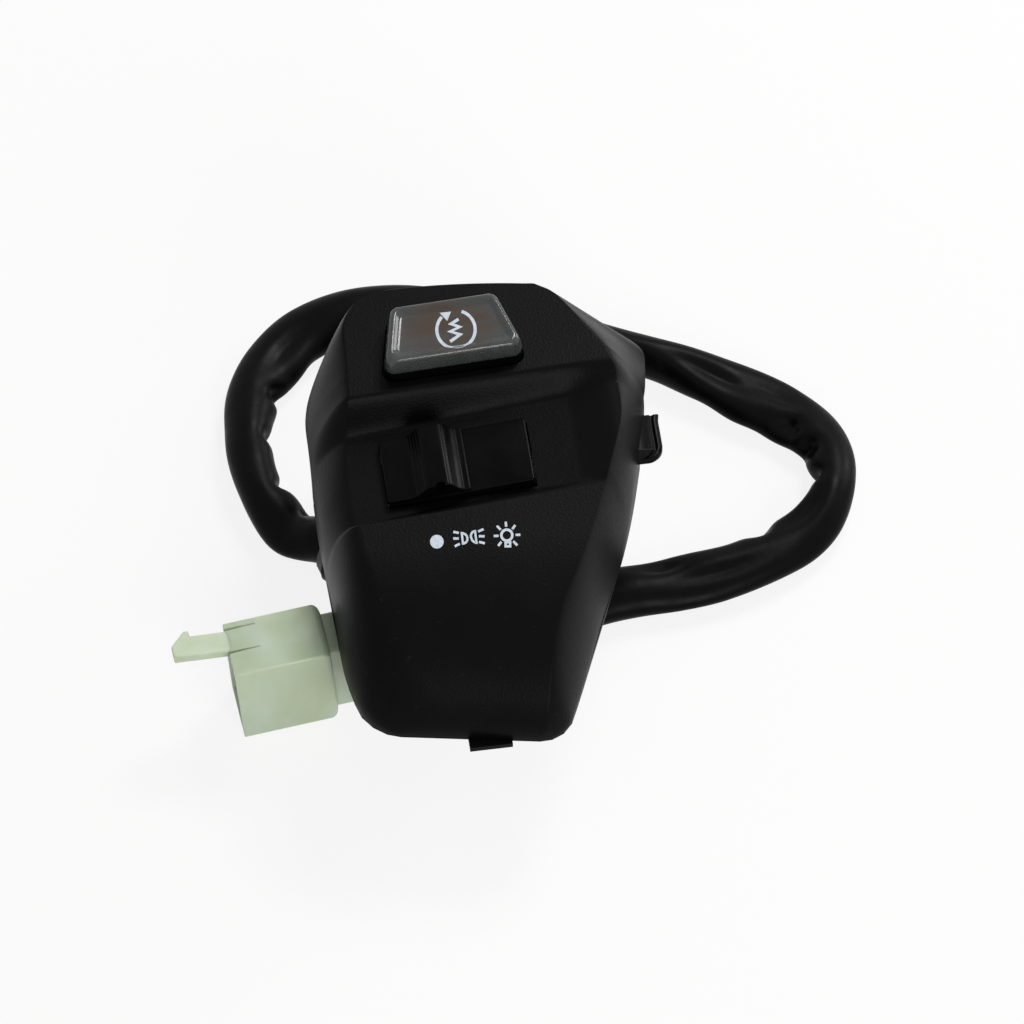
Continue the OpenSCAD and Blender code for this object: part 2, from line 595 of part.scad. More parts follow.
module light_carriage() color("#e8e4d8") at_slider() difference() {
    box([car_x, car_x + car_l], [-car_w / 2, car_w / 2], [car_low, car_top]);
    translate(ball_at) rotate([90, 0, 0]) translate([0, 0, -2]) cylinder(r = ball_r + 0.05, h = 7, $fn = 48);
}

module light_contact() color("#c49a4a") at_slider() {
    box([car_x + 1, car_x + 10.5], [-2.4, 2.4], [car_low - con_t, car_low]);
}

function lt_x(i) = car_x + 2.6 + i * slide_step;
tail_l = 4;
module light_terminals() color("#c8a050") at_slider() for (i = [0:3]) {
    box([lt_x(i) - 1.4, lt_x(i) + 1.4], [-3, 3], [base_floor, lt_top]);
    box([lt_x(i) - 0.5, lt_x(i) + 0.5], [-1.5, 1.5], [base_low - tail_l, base_floor + 0.1]);
}

module detent_ball() color("#c9ccd0") at_slider() translate(ball_at) sphere(r = ball_r, $fn = 48);

module detent_spring() color("#b9b9b4") at_slider() translate(ball_at) rotate([90, 0, 0])
    spring(1.1, 0.2, 5, ball_r + 0.02, 4.98);

// Leads that run from the slider's terminals to the spout
module light_wires() color("#2f4f7a") for (i = [0:3]) {
    a = slider_point([lt_x(i), 0, base_low - tail_l - 0.15]);
    k = [3, 4, 5, 0][i];
    z = 4.4 - 1.9 * i;
    q = pass_point(k, z);
    tube([a, a + [0, 0, (z - a[2]) / 2], [a[0] - 0.6, a[1], z + 1], [a[0] - 1.8, a[1] + 0.2 * (q[1] - a[1]), z],
        [q[0] + 2, q[1], z], q + [0.7, 0, -0.5], q + [0, 0, -2], pass_point(k, lead_end)], wire_r, 8);
}

module small_screw(l) {
    difference() {
        translate([0, 0, -1.4]) cylinder(r = 1.9, h = 1.4, $fn = 48);
        box([-1.2, 1.2], [-0.25, 0.25], [-2, -0.8]);
    }
    cylinder(r = mod_screw_r, h = l, $fn = 48);
}

module module_screws() color("#a8a8a4") {
    for (s = [-1, 1]) translate([start_x + s * ear_off, start_y, guide_top - ear_t]) small_screw(ear_t + 4.5);
    at_slider() for (x = [lug_l, lug_r]) translate([x, 0, lug_top - ear_t]) small_screw(ear_t + 1.8);
}

// Route of the sleeve from the gland to the plug
route = [spout_at - 4 * spout_dir, spout_at + 2.95 * spout_dir, spout_at + 8 * spout_dir - [0, 0, 1.3],
    [-38.6, -1, floor_z + 4.7], [-42, 6, floor_z + 4.5], [-43.6, 15, floor_z + 4.5],
    [-43, 23.3, floor_z + 4.5], [-41, 31.2, floor_z + 4.5], [-36.3, 38.6, floor_z + 4.5],
    [-29, 45.2, floor_z + 4.5], [-20, 49, floor_z + 4.5], [-10, 49.1, floor_z + 4.5],
    [1, 46.2, floor_z + 4.5], [11, 42.6, floor_z + 4.5], [21, 38.6, floor_z + 4.5],
    [30, 34, floor_z + 4.5], [39.3, 29.4, floor_z + 4.5], [47.3, 25.1, floor_z + 4.5],
    [55.2, 19.6, floor_z + 4.5], [63.5, 13.2, floor_z + 4.5], [69.2, 7, floor_z + 4.5],
    [71.8, -0.1, floor_z + 4.5], [71.3, -7.3, floor_z + 4.5], [67.9, -13.8, floor_z + 4.5],
    [62.3, -18.4, floor_z + 4.5], [53.9, -22.5, floor_z + 4.5], [45.3, -24.9, floor_z + 4.5],
    [36.7, -25.7, floor_z + 4.5], [24, -27, floor_z + 4.5], [12, -29.7, floor_z + 4.5],
    [0, -32.4, floor_z + 4.5], [-10, -35, floor_z + 4.5], [-19, -37, floor_z + 4.5],
    [-24.5, -38.2, floor_z + 5]];
module harness_sleeve() color("#1b1b1c") tube(route, sleeve_d / 2, 10);

// Plug, in its own frame at the near lower left corner
plug_at = [-53.15, -48.3, floor_z];
plug_turn = 4.2;
// The plug stands on its mouth's lower edge, with its back held up by the leads
plug_tilt = 4.3;
plug_deep = 13;
collar_l = 3.5;
module at_plug() { translate(plug_at) rotate([0, -plug_tilt, plug_turn]) children(); }
function tilted(p) = [p[0] * cos(plug_tilt) - p[2] * sin(plug_tilt), p[1], p[0] * sin(plug_tilt) + p[2] * cos(plug_tilt)];
function turned(p) = [p[0] * cos(plug_turn) - p[1] * sin(plug_turn), p[0] * sin(plug_turn) + p[1] * cos(plug_turn), p[2]];
function plug_point(p) = plug_at + turned(tilted(p));
latch_y = 0.66 * plug_w;
latch_t = 2.2;
way_y = [0.24, 0.5, 0.76];
way_z = [0.34, 0.68];

// Latch arm seen from above, with the barb at its tip
module latch_plan() {
    polygon([[8, -latch_w / 2], [-latch_reach, -latch_w / 2], [-latch_reach, 0.3], [3 - latch_reach, latch_w / 2 + 1.3],
        [4 - latch_reach, latch_w / 2 + 1.3], [4 - latch_reach, latch_w / 2], [8, latch_w / 2]]);
}

module connector_body() color("#cfd8c4") at_plug() difference() {
    union() {
        box([0, plug_l], [0, plug_w], [0, plug_h]);
        box([plug_l - 1, plug_l + collar_l], [1.4, plug_w - 1.4], [1.8, plug_h - 1.8]);
        translate([0, latch_y, plug_h - latch_t + 0.9]) linear_extrude(latch_t) latch_plan();
    }
    box([-1, plug_deep], [plug_wall, plug_w - plug_wall], [plug_wall, plug_h - latch_t - 1]);
    for (s = [-1, 1]) translate([0, latch_y + s * (latch_w / 2 + 0.35), 0])
        box([-1, 6], [-0.35, 0.35], [plug_h - latch_t - 2, plug_h + 3]);
    box([-1, 6], [latch_y - latch_w / 2, latch_y + latch_w / 2], [plug_h - latch_t - 1.5, plug_h - latch_t + 0.9]);
    for (y = way_y) for (z = way_z) translate([plug_l, plug_w * y, plug_h * z]) rotate([0, 90, 0])
        cylinder(r = 1.1, h = 20, $fn = 32);
}

module connector_terminals() color("#c8a050") at_plug() for (y = way_y) for (z = way_z)
    translate([plug_deep - 8, plug_w * y, plug_h * z]) box([0, 8], [-0.4, 0.4], [-1.4, 1.4]);

module lead_wires() color("#3b3b3d") for (i = [0:2]) for (k = [0:1]) {
    a = plug_point([plug_l, plug_w * way_y[i], plug_h * way_z[k]]);
    b = plug_point([plug_l + collar_l + 0.5, plug_w * way_y[i], plug_h * way_z[k]]);
    dy = (i - 1) * 2.4;
    dz = (k - 0.5) * 2.6;
    e = route[len(route) - 1] + [-0.25 - 0.2165 * dy + 0.093 * dz, dy, dz];
    tube([a, b, [(b[0] + e[0]) / 2, (b[1] + e[1]) / 2, (b[2] + e[2]) / 2], e + [-1, -0.2, 0], e], 0.8, 8);
}

front_shell();
rear_shell();
side_clip();
housing_screws();
cable_gland();
start_lens();
start_legend_plate();
start_plunger();
start_spring();
start_guide();
start_contact_bridge();
start_terminals();
start_wires();
light_knob();
light_slide_plate();
light_base();
light_carriage();
light_contact();
light_terminals();
detent_ball();
detent_spring();
light_wires();
module_screws();
harness_sleeve();
lead_wires();
connector_body();
connector_terminals();
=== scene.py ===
"""Handlebar switch cluster: grained black housing, smoke start button, gloss lighting slider,
black sleeve in two loops and a milky nylon plug, dressed over the CAD frame. Sizes are in mm
until a mesh is made, and metres after that."""
import math

import bmesh
import bpy
import numpy as np
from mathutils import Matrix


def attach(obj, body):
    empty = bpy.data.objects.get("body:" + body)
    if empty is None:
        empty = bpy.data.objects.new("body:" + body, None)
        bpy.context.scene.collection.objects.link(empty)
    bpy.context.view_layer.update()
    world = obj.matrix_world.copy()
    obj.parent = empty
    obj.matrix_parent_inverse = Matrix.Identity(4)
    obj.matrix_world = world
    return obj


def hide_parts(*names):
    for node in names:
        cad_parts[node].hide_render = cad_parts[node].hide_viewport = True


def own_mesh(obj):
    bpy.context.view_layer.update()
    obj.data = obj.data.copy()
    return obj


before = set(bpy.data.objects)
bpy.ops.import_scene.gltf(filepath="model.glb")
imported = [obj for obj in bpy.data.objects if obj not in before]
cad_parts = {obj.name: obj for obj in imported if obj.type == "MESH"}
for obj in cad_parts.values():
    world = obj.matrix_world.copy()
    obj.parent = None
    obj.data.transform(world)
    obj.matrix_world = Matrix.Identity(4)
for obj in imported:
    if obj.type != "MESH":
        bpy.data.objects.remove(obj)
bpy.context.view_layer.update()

MM = 0.001
FLOOR_Z = -20.5
PART_Z = 6.0
WALL = 2.2


def linear(code):
    """sRGB hex to linear RGBA: the usual curve, a straight foot under 0.04 and a power of 2.4 above."""
    parts = [int(code[i:i + 2], 16) / 255 for i in (1, 3, 5)]
    return [c / 12.92 if c <= 0.04045 else ((c + 0.055) / 1.055) ** 2.4 for c in parts] + [1.0]


def add(tree, kind, values=None, links=None):
    """Adds one shader node, sets its inputs or own settings by name, and links nodes or sockets into it."""
    made = tree.nodes.new("ShaderNode" + kind)
    for key, value in (values or {}).items():
        if isinstance(key, str) and hasattr(made, key):
            setattr(made, key, value)
        else:
            made.inputs[key].default_value = value
    for key, source in (links or {}).items():
        tree.links.new(source.outputs[0] if hasattr(source, "outputs") else source, made.inputs[key])
    return made


def new_material(name):
    """A node material with an output and no shader yet, its node tree and its Object coordinates."""
    made = bpy.data.materials.new(name)
    made.use_nodes = True
    tree = made.node_tree
    tree.nodes.clear()
    add(tree, "OutputMaterial")
    return made, tree, add(tree, "TexCoord").outputs["Object"]


def surfaced(made, shader):
    """Links a shader to the surface of a material, and gives the material."""
    tree = made.node_tree
    tree.links.new(shader.outputs[0], tree.get_output_node("ALL").inputs["Surface"])
    return made


def per_mm(size):
    """Noise scale whose features are about that many mm across, as Object coordinates are metres."""
    return 1 / (size * MM)


def between(low, high, start=0.3, end=0.7):
    """Settings that carry a noise from one number to another between two of its levels."""
    return {"From Min": start, "From Max": end, "To Min": low, "To Max": high}


def drift(tree, place, size, detail, dark, light, span=(0, 1)):
    """A noise of a size in mm, and the colour that it carries from one sRGB code to another."""
    noise = add(tree, "TexNoise", {"Scale": per_mm(size), "Detail": detail}, {"Vector": place})
    share = add(tree, "MapRange", between(*span), {"Value": noise})
    return noise, add(tree, "MixRGB", {"Color1": linear(dark), "Color2": linear(light)}, {"Fac": share})


def relief(tree, place, size, detail, depth, strength):
    """A noise of a size in mm, and the bump of a depth in mm that it raises."""
    noise = add(tree, "TexNoise", {"Scale": per_mm(size), "Detail": detail}, {"Vector": place})
    return noise, add(tree, "Bump", {"Distance": depth * MM, "Strength": strength}, {"Height": noise})


def grained_abs():
    """Injection-moulded ABS with a spark-eroded mould grain: a dull black whose fine pebbles break up the
    light, a little smoother where hands rub it. The grain is drawn at 0.5 mm so that it shows."""
    made, tree, place = new_material("moulded_abs_grained")
    rub, body = drift(tree, place, 16, 3.0, "#060607", "#0a0a0b")
    dust = add(tree, "TexNoise", {"Scale": per_mm(0.9), "Detail": 1.0}, {"Vector": place})
    fleck = add(tree, "MapRange", between(0, 0.5, 0.71, 0.78), {"Value": dust})
    speck = add(tree, "MixRGB", {"Color2": linear("#1b1b1a")}, {"Fac": fleck, "Color1": body})
    rough = add(tree, "MapRange", between(0.34, 0.42), {"Value": rub})
    grain = relief(tree, place, 0.5, 3.0, 0.08, 0.7)[1]
    skin = add(tree, "BsdfPrincipled", {"IOR": 1.53, "Specular IOR Level": 0.045},
               {"Base Color": speck, "Roughness": rough, "Normal": grain})
    return surfaced(made, skin)


def gloss_pom():
    """Moulded acetal of the slider, polished by the mould: deep black with faint draw lines across the travel
    and a soft sheen from thumbs."""
    made, tree, place = new_material("moulded_acetal_gloss")
    drawn = add(tree, "Mapping", {"Scale": (6.0, 0.5, 0.5)}, {"Vector": place})
    smear, body = drift(tree, place, 7, 3.0, "#040405", "#080808")
    rough = add(tree, "MapRange", between(0.16, 0.34), {"Value": smear})
    line = relief(tree, drawn, 3, 3.0, 0.02, 0.5)[1]
    skin = add(tree, "BsdfPrincipled", {"IOR": 1.48, "Specular IOR Level": 0.04},
               {"Base Color": body, "Roughness": rough, "Normal": line})
    return surfaced(made, skin)


# Middle of the start cap and the spread of the brown that shows through it, in metres
CAP_MIDDLE = (-0.0047, 0.0053, 0.0362)
CAP_SPREAD = (0.0125, 0.0075, 0.01)


def smoke_acrylic():
    """Moulded smoke-tinted acrylic of the start cap: grey and see-through, cloudy in its thick rim, brown in
    blotches over the foil in its middle, with fine wipe marks in its gloss."""
    made, tree, place = new_material("moulded_acrylic_smoke")
    body = drift(tree, place, 5, 2.0, "#5b6160", "#6c7170")[1]
    across = add(tree, "Mapping", {"Scale": (0.4, 3.0, 1.0)}, {"Vector": place})
    wipe, mark = relief(tree, across, 2.5, 3.0, 0.01, 0.12)
    about = add(tree, "Mapping", {"vector_type": "TEXTURE", "Location": CAP_MIDDLE, "Scale": CAP_SPREAD},
                {"Vector": place})
    inner = add(tree, "TexGradient", {"gradient_type": "SPHERICAL"}, {"Vector": about})
    blotch = add(tree, "TexNoise", {"Scale": per_mm(6), "Detail": 4.0}, {"Vector": across})
    stain = add(tree, "MapRange", between(0.35, 1, 0.4, 0.6), {"Value": blotch})
    shown = add(tree, "MapRange", between(0, 1, 0.05, 0.4), {"Value": inner})
    brown = add(tree, "Math", {"operation": "MULTIPLY"}, {0: shown, 1: stain})
    tint = add(tree, "MixRGB", {"Color2": linear("#6a5443")}, {"Fac": brown, "Color1": body})
    rough = add(tree, "MapRange", between(0.1, 0.16), {"Value": wipe})
    skin = add(tree, "BsdfPrincipled", {"IOR": 1.49, "Specular IOR Level": 0.16, "Transmission Weight": 0.6},
               {"Base Color": tint, "Roughness": rough, "Normal": mark})
    return surfaced(made, skin)


def legend_foil():
    """Brown tinted filter foil under the cap, blotched where it touches the acrylic."""
    made, tree, place = new_material("tinted_filter_foil")
    along = add(tree, "Mapping", {"Scale": (0.6, 1.6, 1.0)}, {"Vector": place})
    body = drift(tree, along, 6, 4.0, "#77706a", "#b08a66", (0, 1, 0.35, 0.65))[1]
    skin = add(tree, "BsdfPrincipled", {"Roughness": 0.5}, {"Base Color": body})
    return surfaced(made, skin)


def milky_nylon():
    """Natural moulded nylon of the plug: milky, faintly green, glowing inside its walls, with flow clouds
    and a satin mould skin."""
    made, tree, place = new_material("moulded_nylon_natural")
    flow = add(tree, "Mapping", {"Scale": (1.0, 1.0, 0.5)}, {"Vector": place})
    cloud, body = drift(tree, flow, 9, 3.0, "#c2d0ae", "#d0e0cb")
    rough = add(tree, "MapRange", between(0.3, 0.42), {"Value": cloud})
    fine = relief(tree, place, 0.8, 2.0, 0.02, 0.3)[1]
    skin = add(tree, "BsdfPrincipled", {"IOR": 1.53, "Subsurface Weight": 0.55, "Subsurface Scale": 0.003,
                                        "Subsurface Radius": (1.0, 1.0, 0.75)},
               {"Base Color": body, "Roughness": rough, "Normal": fine})
    return surfaced(made, skin)


def sleeve_pvc():
    """Soft extruded PVC sleeving: satin black with fine creases and pale scuffs."""
    made, tree, place = new_material("extruded_pvc_satin")
    crease = add(tree, "TexNoise", {"Scale": per_mm(4), "Detail": 4.0}, {"Vector": place})
    body = drift(tree, place, 3, 4.0, "#060607", "#111112", (0, 0.5, 0.6, 0.8))[1]
    rough = add(tree, "MapRange", between(0.3, 0.46), {"Value": crease})
    under = relief(tree, place, 0.7, 2.0, 0.02, 0.25)[1]
    fold = add(tree, "Bump", {"Distance": 0.25 * MM, "Strength": 0.35}, {"Height": crease, "Normal": under})
    skin = add(tree, "BsdfPrincipled", {"IOR": 1.52, "Specular IOR Level": 0.05},
               {"Base Color": body, "Roughness": rough, "Normal": fold})
    return surfaced(made, skin)


def print_ink():
    """Pad-printed white ink: cool white, flat, a little thin where the grain shows through."""
    made, tree, place = new_material("pad_print_white")
    body = drift(tree, place, 0.6, 2.0, "#bfcbd6", "#d6e0ea")[1]
    skin = add(tree, "BsdfPrincipled", {"Roughness": 0.55}, {"Base Color": body})
    return surfaced(made, skin)


def moulded(name, dark, light, rough):
    """Plain moulded or extruded plastic: a slow drift of colour, a satin mould skin and a fine bump."""
    made, tree, place = new_material(name)
    flow, body = drift(tree, place, 5, 3.0, dark, light)
    satin = add(tree, "MapRange", between(rough - 0.06, rough + 0.06), {"Value": flow})
    fine = relief(tree, place, 0.6, 2.0, 0.02, 0.3)[1]
    skin = add(tree, "BsdfPrincipled", {"IOR": 1.52},
               {"Base Color": body, "Roughness": satin, "Normal": fine})
    return surfaced(made, skin)


def rolled(name, dark, light, rough):
    """Rolled or drawn metal: fine lines along the rolling direction and patches of dull oxide."""
    made, tree, place = new_material(name)
    along = add(tree, "Mapping", {"Scale": (1.0, 7.0, 1.0)}, {"Vector": place})
    drawn, line = relief(tree, along, 0.5, 3.0, 0.01, 0.3)
    body = drift(tree, place, 2, 3.0, dark, light)[1]
    satin = add(tree, "MapRange", between(rough - 0.08, rough + 0.1), {"Value": drawn})
    skin = add(tree, "BsdfPrincipled", {"Metallic": 1.0},
               {"Base Color": body, "Roughness": satin, "Normal": line})
    return surfaced(made, skin)


ABS = grained_abs()
GLOSS = gloss_pom()
SMOKE = smoke_acrylic()
FOIL = legend_foil()
NYLON = milky_nylon()
PVC = sleeve_pvc()
INK = print_ink()
CREAM = moulded("moulded_pbt_cream", "#c9bfa2", "#dcd4ba", 0.45)
RUBBER = moulded("moulded_nitrile_rubber", "#141414", "#1d1d1d", 0.62)
RED_LEAD = moulded("extruded_pvc_red_lead", "#6e2a1c", "#86382a", 0.4)
BLUE_LEAD = moulded("extruded_pvc_blue_lead", "#24406a", "#2f5080", 0.4)
GREY_LEAD = moulded("extruded_pvc_grey_lead", "#2e2e30", "#3c3c3f", 0.4)
STEEL = rolled("zinc_plated_steel", "#a6a7a4", "#c6c7c3", 0.32)
BRASS = rolled("rolled_brass_strip", "#b08a42", "#d0aa5e", 0.3)


def grid_faces(rows, cols, closed=False, start=0):
    """Four-sided faces of a grid of rows by columns; a closed grid joins its last column to its first."""
    i, j = np.meshgrid(np.arange(rows - 1), np.arange(cols if closed else cols - 1), indexing="ij")
    k = (j + 1) % cols
    quads = np.stack([i * cols + j, i * cols + k, (i + 1) * cols + k, (i + 1) * cols + j], axis=-1)
    return (start + quads.reshape(-1, 4)).tolist()


def rings(sections):
    """Closed skin over rings of equal count: quads between rings, and a fan to a middle point at each end."""
    rows, cols = sections.shape[:2]
    points = np.vstack([sections.reshape(-1, 3), sections[0].mean(0), sections[-1].mean(0)])
    j = np.arange(cols)
    k = (j + 1) % cols
    first, last = rows * cols, (rows - 1) * cols
    fan_a = np.stack([np.full(cols, first), k, j], axis=1)
    fan_b = np.stack([np.full(cols, first + 1), last + j, last + k], axis=1)
    return points, grid_faces(rows, cols, True) + fan_a.tolist() + fan_b.tolist()


def placed(name, data):
    """A new object in the scene for a mesh, a lamp or a camera."""
    made = bpy.data.objects.new(name, data)
    bpy.context.collection.objects.link(made)
    return made


def mesh_of(name, points, faces):
    """A mesh in metres from points in mm."""
    mesh = bpy.data.meshes.new(name)
    mesh.from_pydata((np.asarray(points) * MM).tolist(), [], faces)
    return mesh


def piece(name, points, faces, finish, body="housing", nodes=(), slot=None, sharp=35):
    """Closed mesh piece from points in mm, its faces turned outwards, smooth below an angle, on a body."""
    mesh = mesh_of(name, points, faces)
    shell_mesh = bmesh.new()
    shell_mesh.from_mesh(mesh)
    bmesh.ops.recalc_face_normals(shell_mesh, faces=shell_mesh.faces)
    shell_mesh.to_mesh(mesh)
    shell_mesh.free()
    mesh.shade_smooth()
    mesh.set_sharp_from_angle(angle=math.radians(sharp))
    mesh.materials.append(finish)
    made = placed(name, mesh)
    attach(made, body)
    if nodes:
        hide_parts(*nodes)
    return made


def smooth_path(points, step):
    """Catmull-Rom curve through points, spaced evenly along its length. Gives the places, the place of
    each in the list of points, and the run along the curve."""
    p = np.asarray(points, float)
    ext = np.vstack([2 * p[0] - p[1], p, 2 * p[-1] - p[-2]])
    u = np.linspace(0, len(p) - 1, 24 * (len(p) - 1) + 1)
    i = np.minimum(u.astype(int), len(p) - 2)
    f = (u - i)[:, None]
    a, b, c, d = ext[i], ext[i + 1], ext[i + 2], ext[i + 3]
    fine = b + 0.5 * ((c - a) * f + (2 * a - 5 * b + 4 * c - d) * f ** 2 + (3 * b - a - 3 * c + d) * f ** 3)
    run = np.r_[0, np.cumsum(np.linalg.norm(np.diff(fine, axis=0), axis=1))]
    at = np.linspace(0, run[-1], int(run[-1] / step) + 1)
    even = np.stack([np.interp(at, run, fine[:, k]) for k in range(3)], axis=1)
    return even, np.interp(at, run, u), at


def path_frame(path):
    """Direction, level side and upward normal at each point of a path."""
    way = np.gradient(path, axis=0)
    way /= np.linalg.norm(way, axis=1)[:, None]
    side = np.cross([0, 0, 1.0], way)
    side /= np.linalg.norm(side, axis=1)[:, None]
    return way, side, np.cross(way, side)


def tube(path, r, n):
    """Round tube along a path."""
    way, side, up = path_frame(path)
    turn = np.linspace(0, 2 * np.pi, n, endpoint=False)[None, :, None]
    return rings(path[:, None, :] + r * (np.cos(turn) * side[:, None, :] + np.sin(turn) * up[:, None, :]))


SLEEVE_D = 9.0
SLEEVE_LIFT = SLEEVE_D / 2
ON_FLOOR = (0, 0, FLOOR_Z)
# Route of the sleeve from the gland to the plug, as in the part's source: X, Y and height over the floor
SLEEVE_ROUTE = [
    (-26, -13.14, 6.9), (-31.21, -8.55, 6.9), (-35, -5.22, 5.6), (-38.6, -1, 4.7), (-42, 6, 4.5),
    (-43.6, 15, 4.5), (-43, 23.3, 4.5), (-41, 31.2, 4.5), (-36.3, 38.6, 4.5), (-29, 45.2, 4.5),
    (-20, 49, 4.5), (-10, 49.1, 4.5), (1, 46.2, 4.5), (11, 42.6, 4.5), (21, 38.6, 4.5), (30, 34, 4.5),
    (39.3, 29.4, 4.5), (47.3, 25.1, 4.5), (55.2, 19.6, 4.5), (63.5, 13.2, 4.5), (69.2, 7, 4.5),
    (71.8, -0.1, 4.5), (71.3, -7.3, 4.5), (67.9, -13.8, 4.5), (62.3, -18.4, 4.5), (53.9, -22.5, 4.5),
    (45.3, -24.9, 4.5), (36.7, -25.7, 4.5), (24, -27, 4.5), (12, -29.7, 4.5), (0, -32.4, 4.5),
    (-10, -35, 4.5), (-19, -37, 4.5), (-24.5, -38.2, 5)]
# Width of the slack sleeve where it is pressed flat or pinched: place in the route, mm
SLEEVE_WIDTH = [
    (0, 8.9), (1.6, 8.9), (2.3, 12.6), (3, 11.6), (4, 9), (5, 9.3), (6, 9.6), (7, 11), (8, 12.6), (9, 12.3),
    (10, 10.2), (12, 9), (15, 8), (16, 7.8), (17, 10), (18, 12.4), (19, 13), (20, 11.8), (21, 9.8), (22, 8.7),
    (23, 10), (24, 11.8), (25, 11.8), (26, 11.8), (27, 12.4), (28, 11.6), (30, 10), (33, 8.9)]
# Dents: place in the route, angle from the outer side, depth, half length and half width in degrees
SLEEVE_DENTS = [
    (2.7, 150, 1.6, 3, 35), (4.05, 185, 2.2, 1.6, 45), (5.6, 180, 2.0, 1.8, 40), (7.1, 170, 2.0, 2.2, 42),
    (8.4, 100, 1.2, 7, 22), (17.6, 95, 1.5, 8, 20), (18.8, 70, 1.3, 7, 20), (19.6, 130, 1.8, 3, 30),
    (20.6, 150, 2.0, 2.4, 40), (21.8, 180, 2.4, 1.6, 50), (23.3, 110, 1.2, 6, 22), (24.6, 165, 1.5, 3, 35),
    (25.9, 75, 1.0, 9, 16), (27.2, 120, 1.3, 5, 24)]
# The route's places between which the sleeve is slack, and the height it loses for each mm of width
SLACK_FROM, SLACK_TO, FLATTEN, SMOOTH_N, FLOOR_CLEAR = 2, 33, 0.55, 15, 0.05
# Folds on its inner side: size, run and drift; and slow waves: size, run, waves round it and shift
FOLD_SIZE, FOLD_RUN, FOLD_DRIFT = 0.03, 2.3, 19
SLEEVE_WAVES = [(0.018, 5.1, 3, 0), (0.014, 3.7, -2, 1)]


def sleeve_skin():
    """Slack sleeve: an ellipse carried along the route, flatter where it is wider, on the floor, with each
    dent a bell-shaped hollow in run and angle, and slow waves round and along it."""
    path, place, run = smooth_path(np.array(SLEEVE_ROUTE) + ON_FLOOR, 0.8)
    keys = np.array(SLEEVE_WIDTH)
    wide = np.interp(place, keys[:, 0], keys[:, 1])
    bell = np.hanning(SMOOTH_N)[1:-1]
    wide = np.convolve(np.pad(wide, len(bell) // 2, mode="edge"), bell / bell.sum(), "valid")
    tall = SLEEVE_D + FLATTEN * (SLEEVE_D - wide)
    path[:, 2] += tall / 2 - SLEEVE_LIFT
    way, side, up = path_frame(path)
    turn = np.linspace(0, 2 * np.pi, 48, endpoint=False)[None, :]
    grow = np.ones((len(path), turn.size))
    s = run[:, None]
    for at, angle, depth, length, width in SLEEVE_DENTS:
        here = np.interp(at, place, run)
        off = np.angle(np.exp(1j * (turn - math.radians(angle))))
        grow -= depth / SLEEVE_LIFT * np.exp(-((s - here) / length) ** 2 - (off / math.radians(width)) ** 2)
    slack = np.clip((place - SLACK_FROM) / 2, 0, 1) * np.clip((SLACK_TO - place) / 2, 0, 1)
    fold = np.sin(s / FOLD_RUN + 2 * np.sin(turn + s / FOLD_DRIFT))
    wave = FOLD_SIZE * fold * np.clip(-np.cos(turn), 0, 1)
    for size, length, count, shift in SLEEVE_WAVES:
        wave += size * np.sin(s / length + count * turn + shift)
    grow += wave * slack[:, None]
    across = (grow * np.cos(turn) * wide[:, None] / 2)[:, :, None] * side[:, None, :]
    high = (grow * np.sin(turn) * tall[:, None] / 2)[:, :, None] * up[:, None, :]
    skin = path[:, None, :] + across + high
    skin[:, :, 2] = np.maximum(skin[:, :, 2], FLOOR_Z + FLOOR_CLEAR)
    return path, skin, run[-1]


sleeve_path, sleeve_rings, sleeve_length = sleeve_skin()
sleeve = piece("harness_sleeving", *rings(sleeve_rings), PVC, nodes=["harness_sleeve"], slot="pvc_sleeve",
               sharp=70)


# Camera: 8 degrees to the left of the front, 55 above the floor, 5 pixels of a 1024 image to the mm
AZIMUTH = math.radians(8)
ELEVATION = math.radians(55)
IMAGE_PX, PX_PER_MM, CAMERA_AWAY = 1024, 5.0, 3000.0
CENTRE_RIGHT, CENTRE_UP = 7.2, -12.0
CAM_RIGHT = np.array([math.cos(AZIMUTH), -math.sin(AZIMUTH), 0])
CAM_BACK = np.array([-math.cos(ELEVATION) * math.sin(AZIMUTH), -math.cos(ELEVATION) * math.cos(AZIMUTH),
                     math.sin(ELEVATION)])
CAM_UP = np.cross(CAM_BACK, CAM_RIGHT)


def aimed(made, right, up, back, place):
    """Turns an object that looks along its own -Z by its three axes, and moves it to a place in metres."""
    turn = np.eye(4)
    turn[:3] = np.stack([right, up, back, place], axis=1)
    made.matrix_world = turn.T.tolist()


def set_camera():
    """Long lens at the photograph's angle: the frame is as wide as 1024 pixels at 5 to the mm."""
    data = bpy.data.cameras.new("photo_camera")
    made = placed("photo_camera", data)
    data.lens = data.sensor_width * CAMERA_AWAY * PX_PER_MM / IMAGE_PX
    data.clip_end = 20
    aim = CAM_RIGHT * CENTRE_RIGHT + CAM_UP * CENTRE_UP
    aimed(made, CAM_RIGHT, CAM_UP, CAM_BACK, (aim + CAM_BACK * CAMERA_AWAY) * MM)
    bpy.context.scene.camera = made


# Lamps: name, place and size in metres, power in watts
LAMPS = [("overhead_softbox", (0.36, 0.46, 0.73), 0.3, 4.6),
         ("back_softbox", (0.75, 0.4, 0.28), 0.35, 2.6),
         ("front_softbox", (0.2, -0.8, 0.42), 0.4, 3.4)]
# Half the floor's width in mm, and the share of it that glows white to the eye and keeps no shadow
FLOOR_REACH, FLOOR_GLOW = 3000.0, 0.86


def set_lamp(name, place, size, power):
    """Soft square lamp at a place in metres, turned to face the part."""
    data = bpy.data.lights.new(name, "AREA")
    data.size = size
    data.energy = power
    back = np.array(place, float) / np.linalg.norm(place)
    right = np.cross([0.1, 1, 0], back)
    right /= np.linalg.norm(right)
    aimed(placed(name, data), right, np.cross(back, right), back, place)


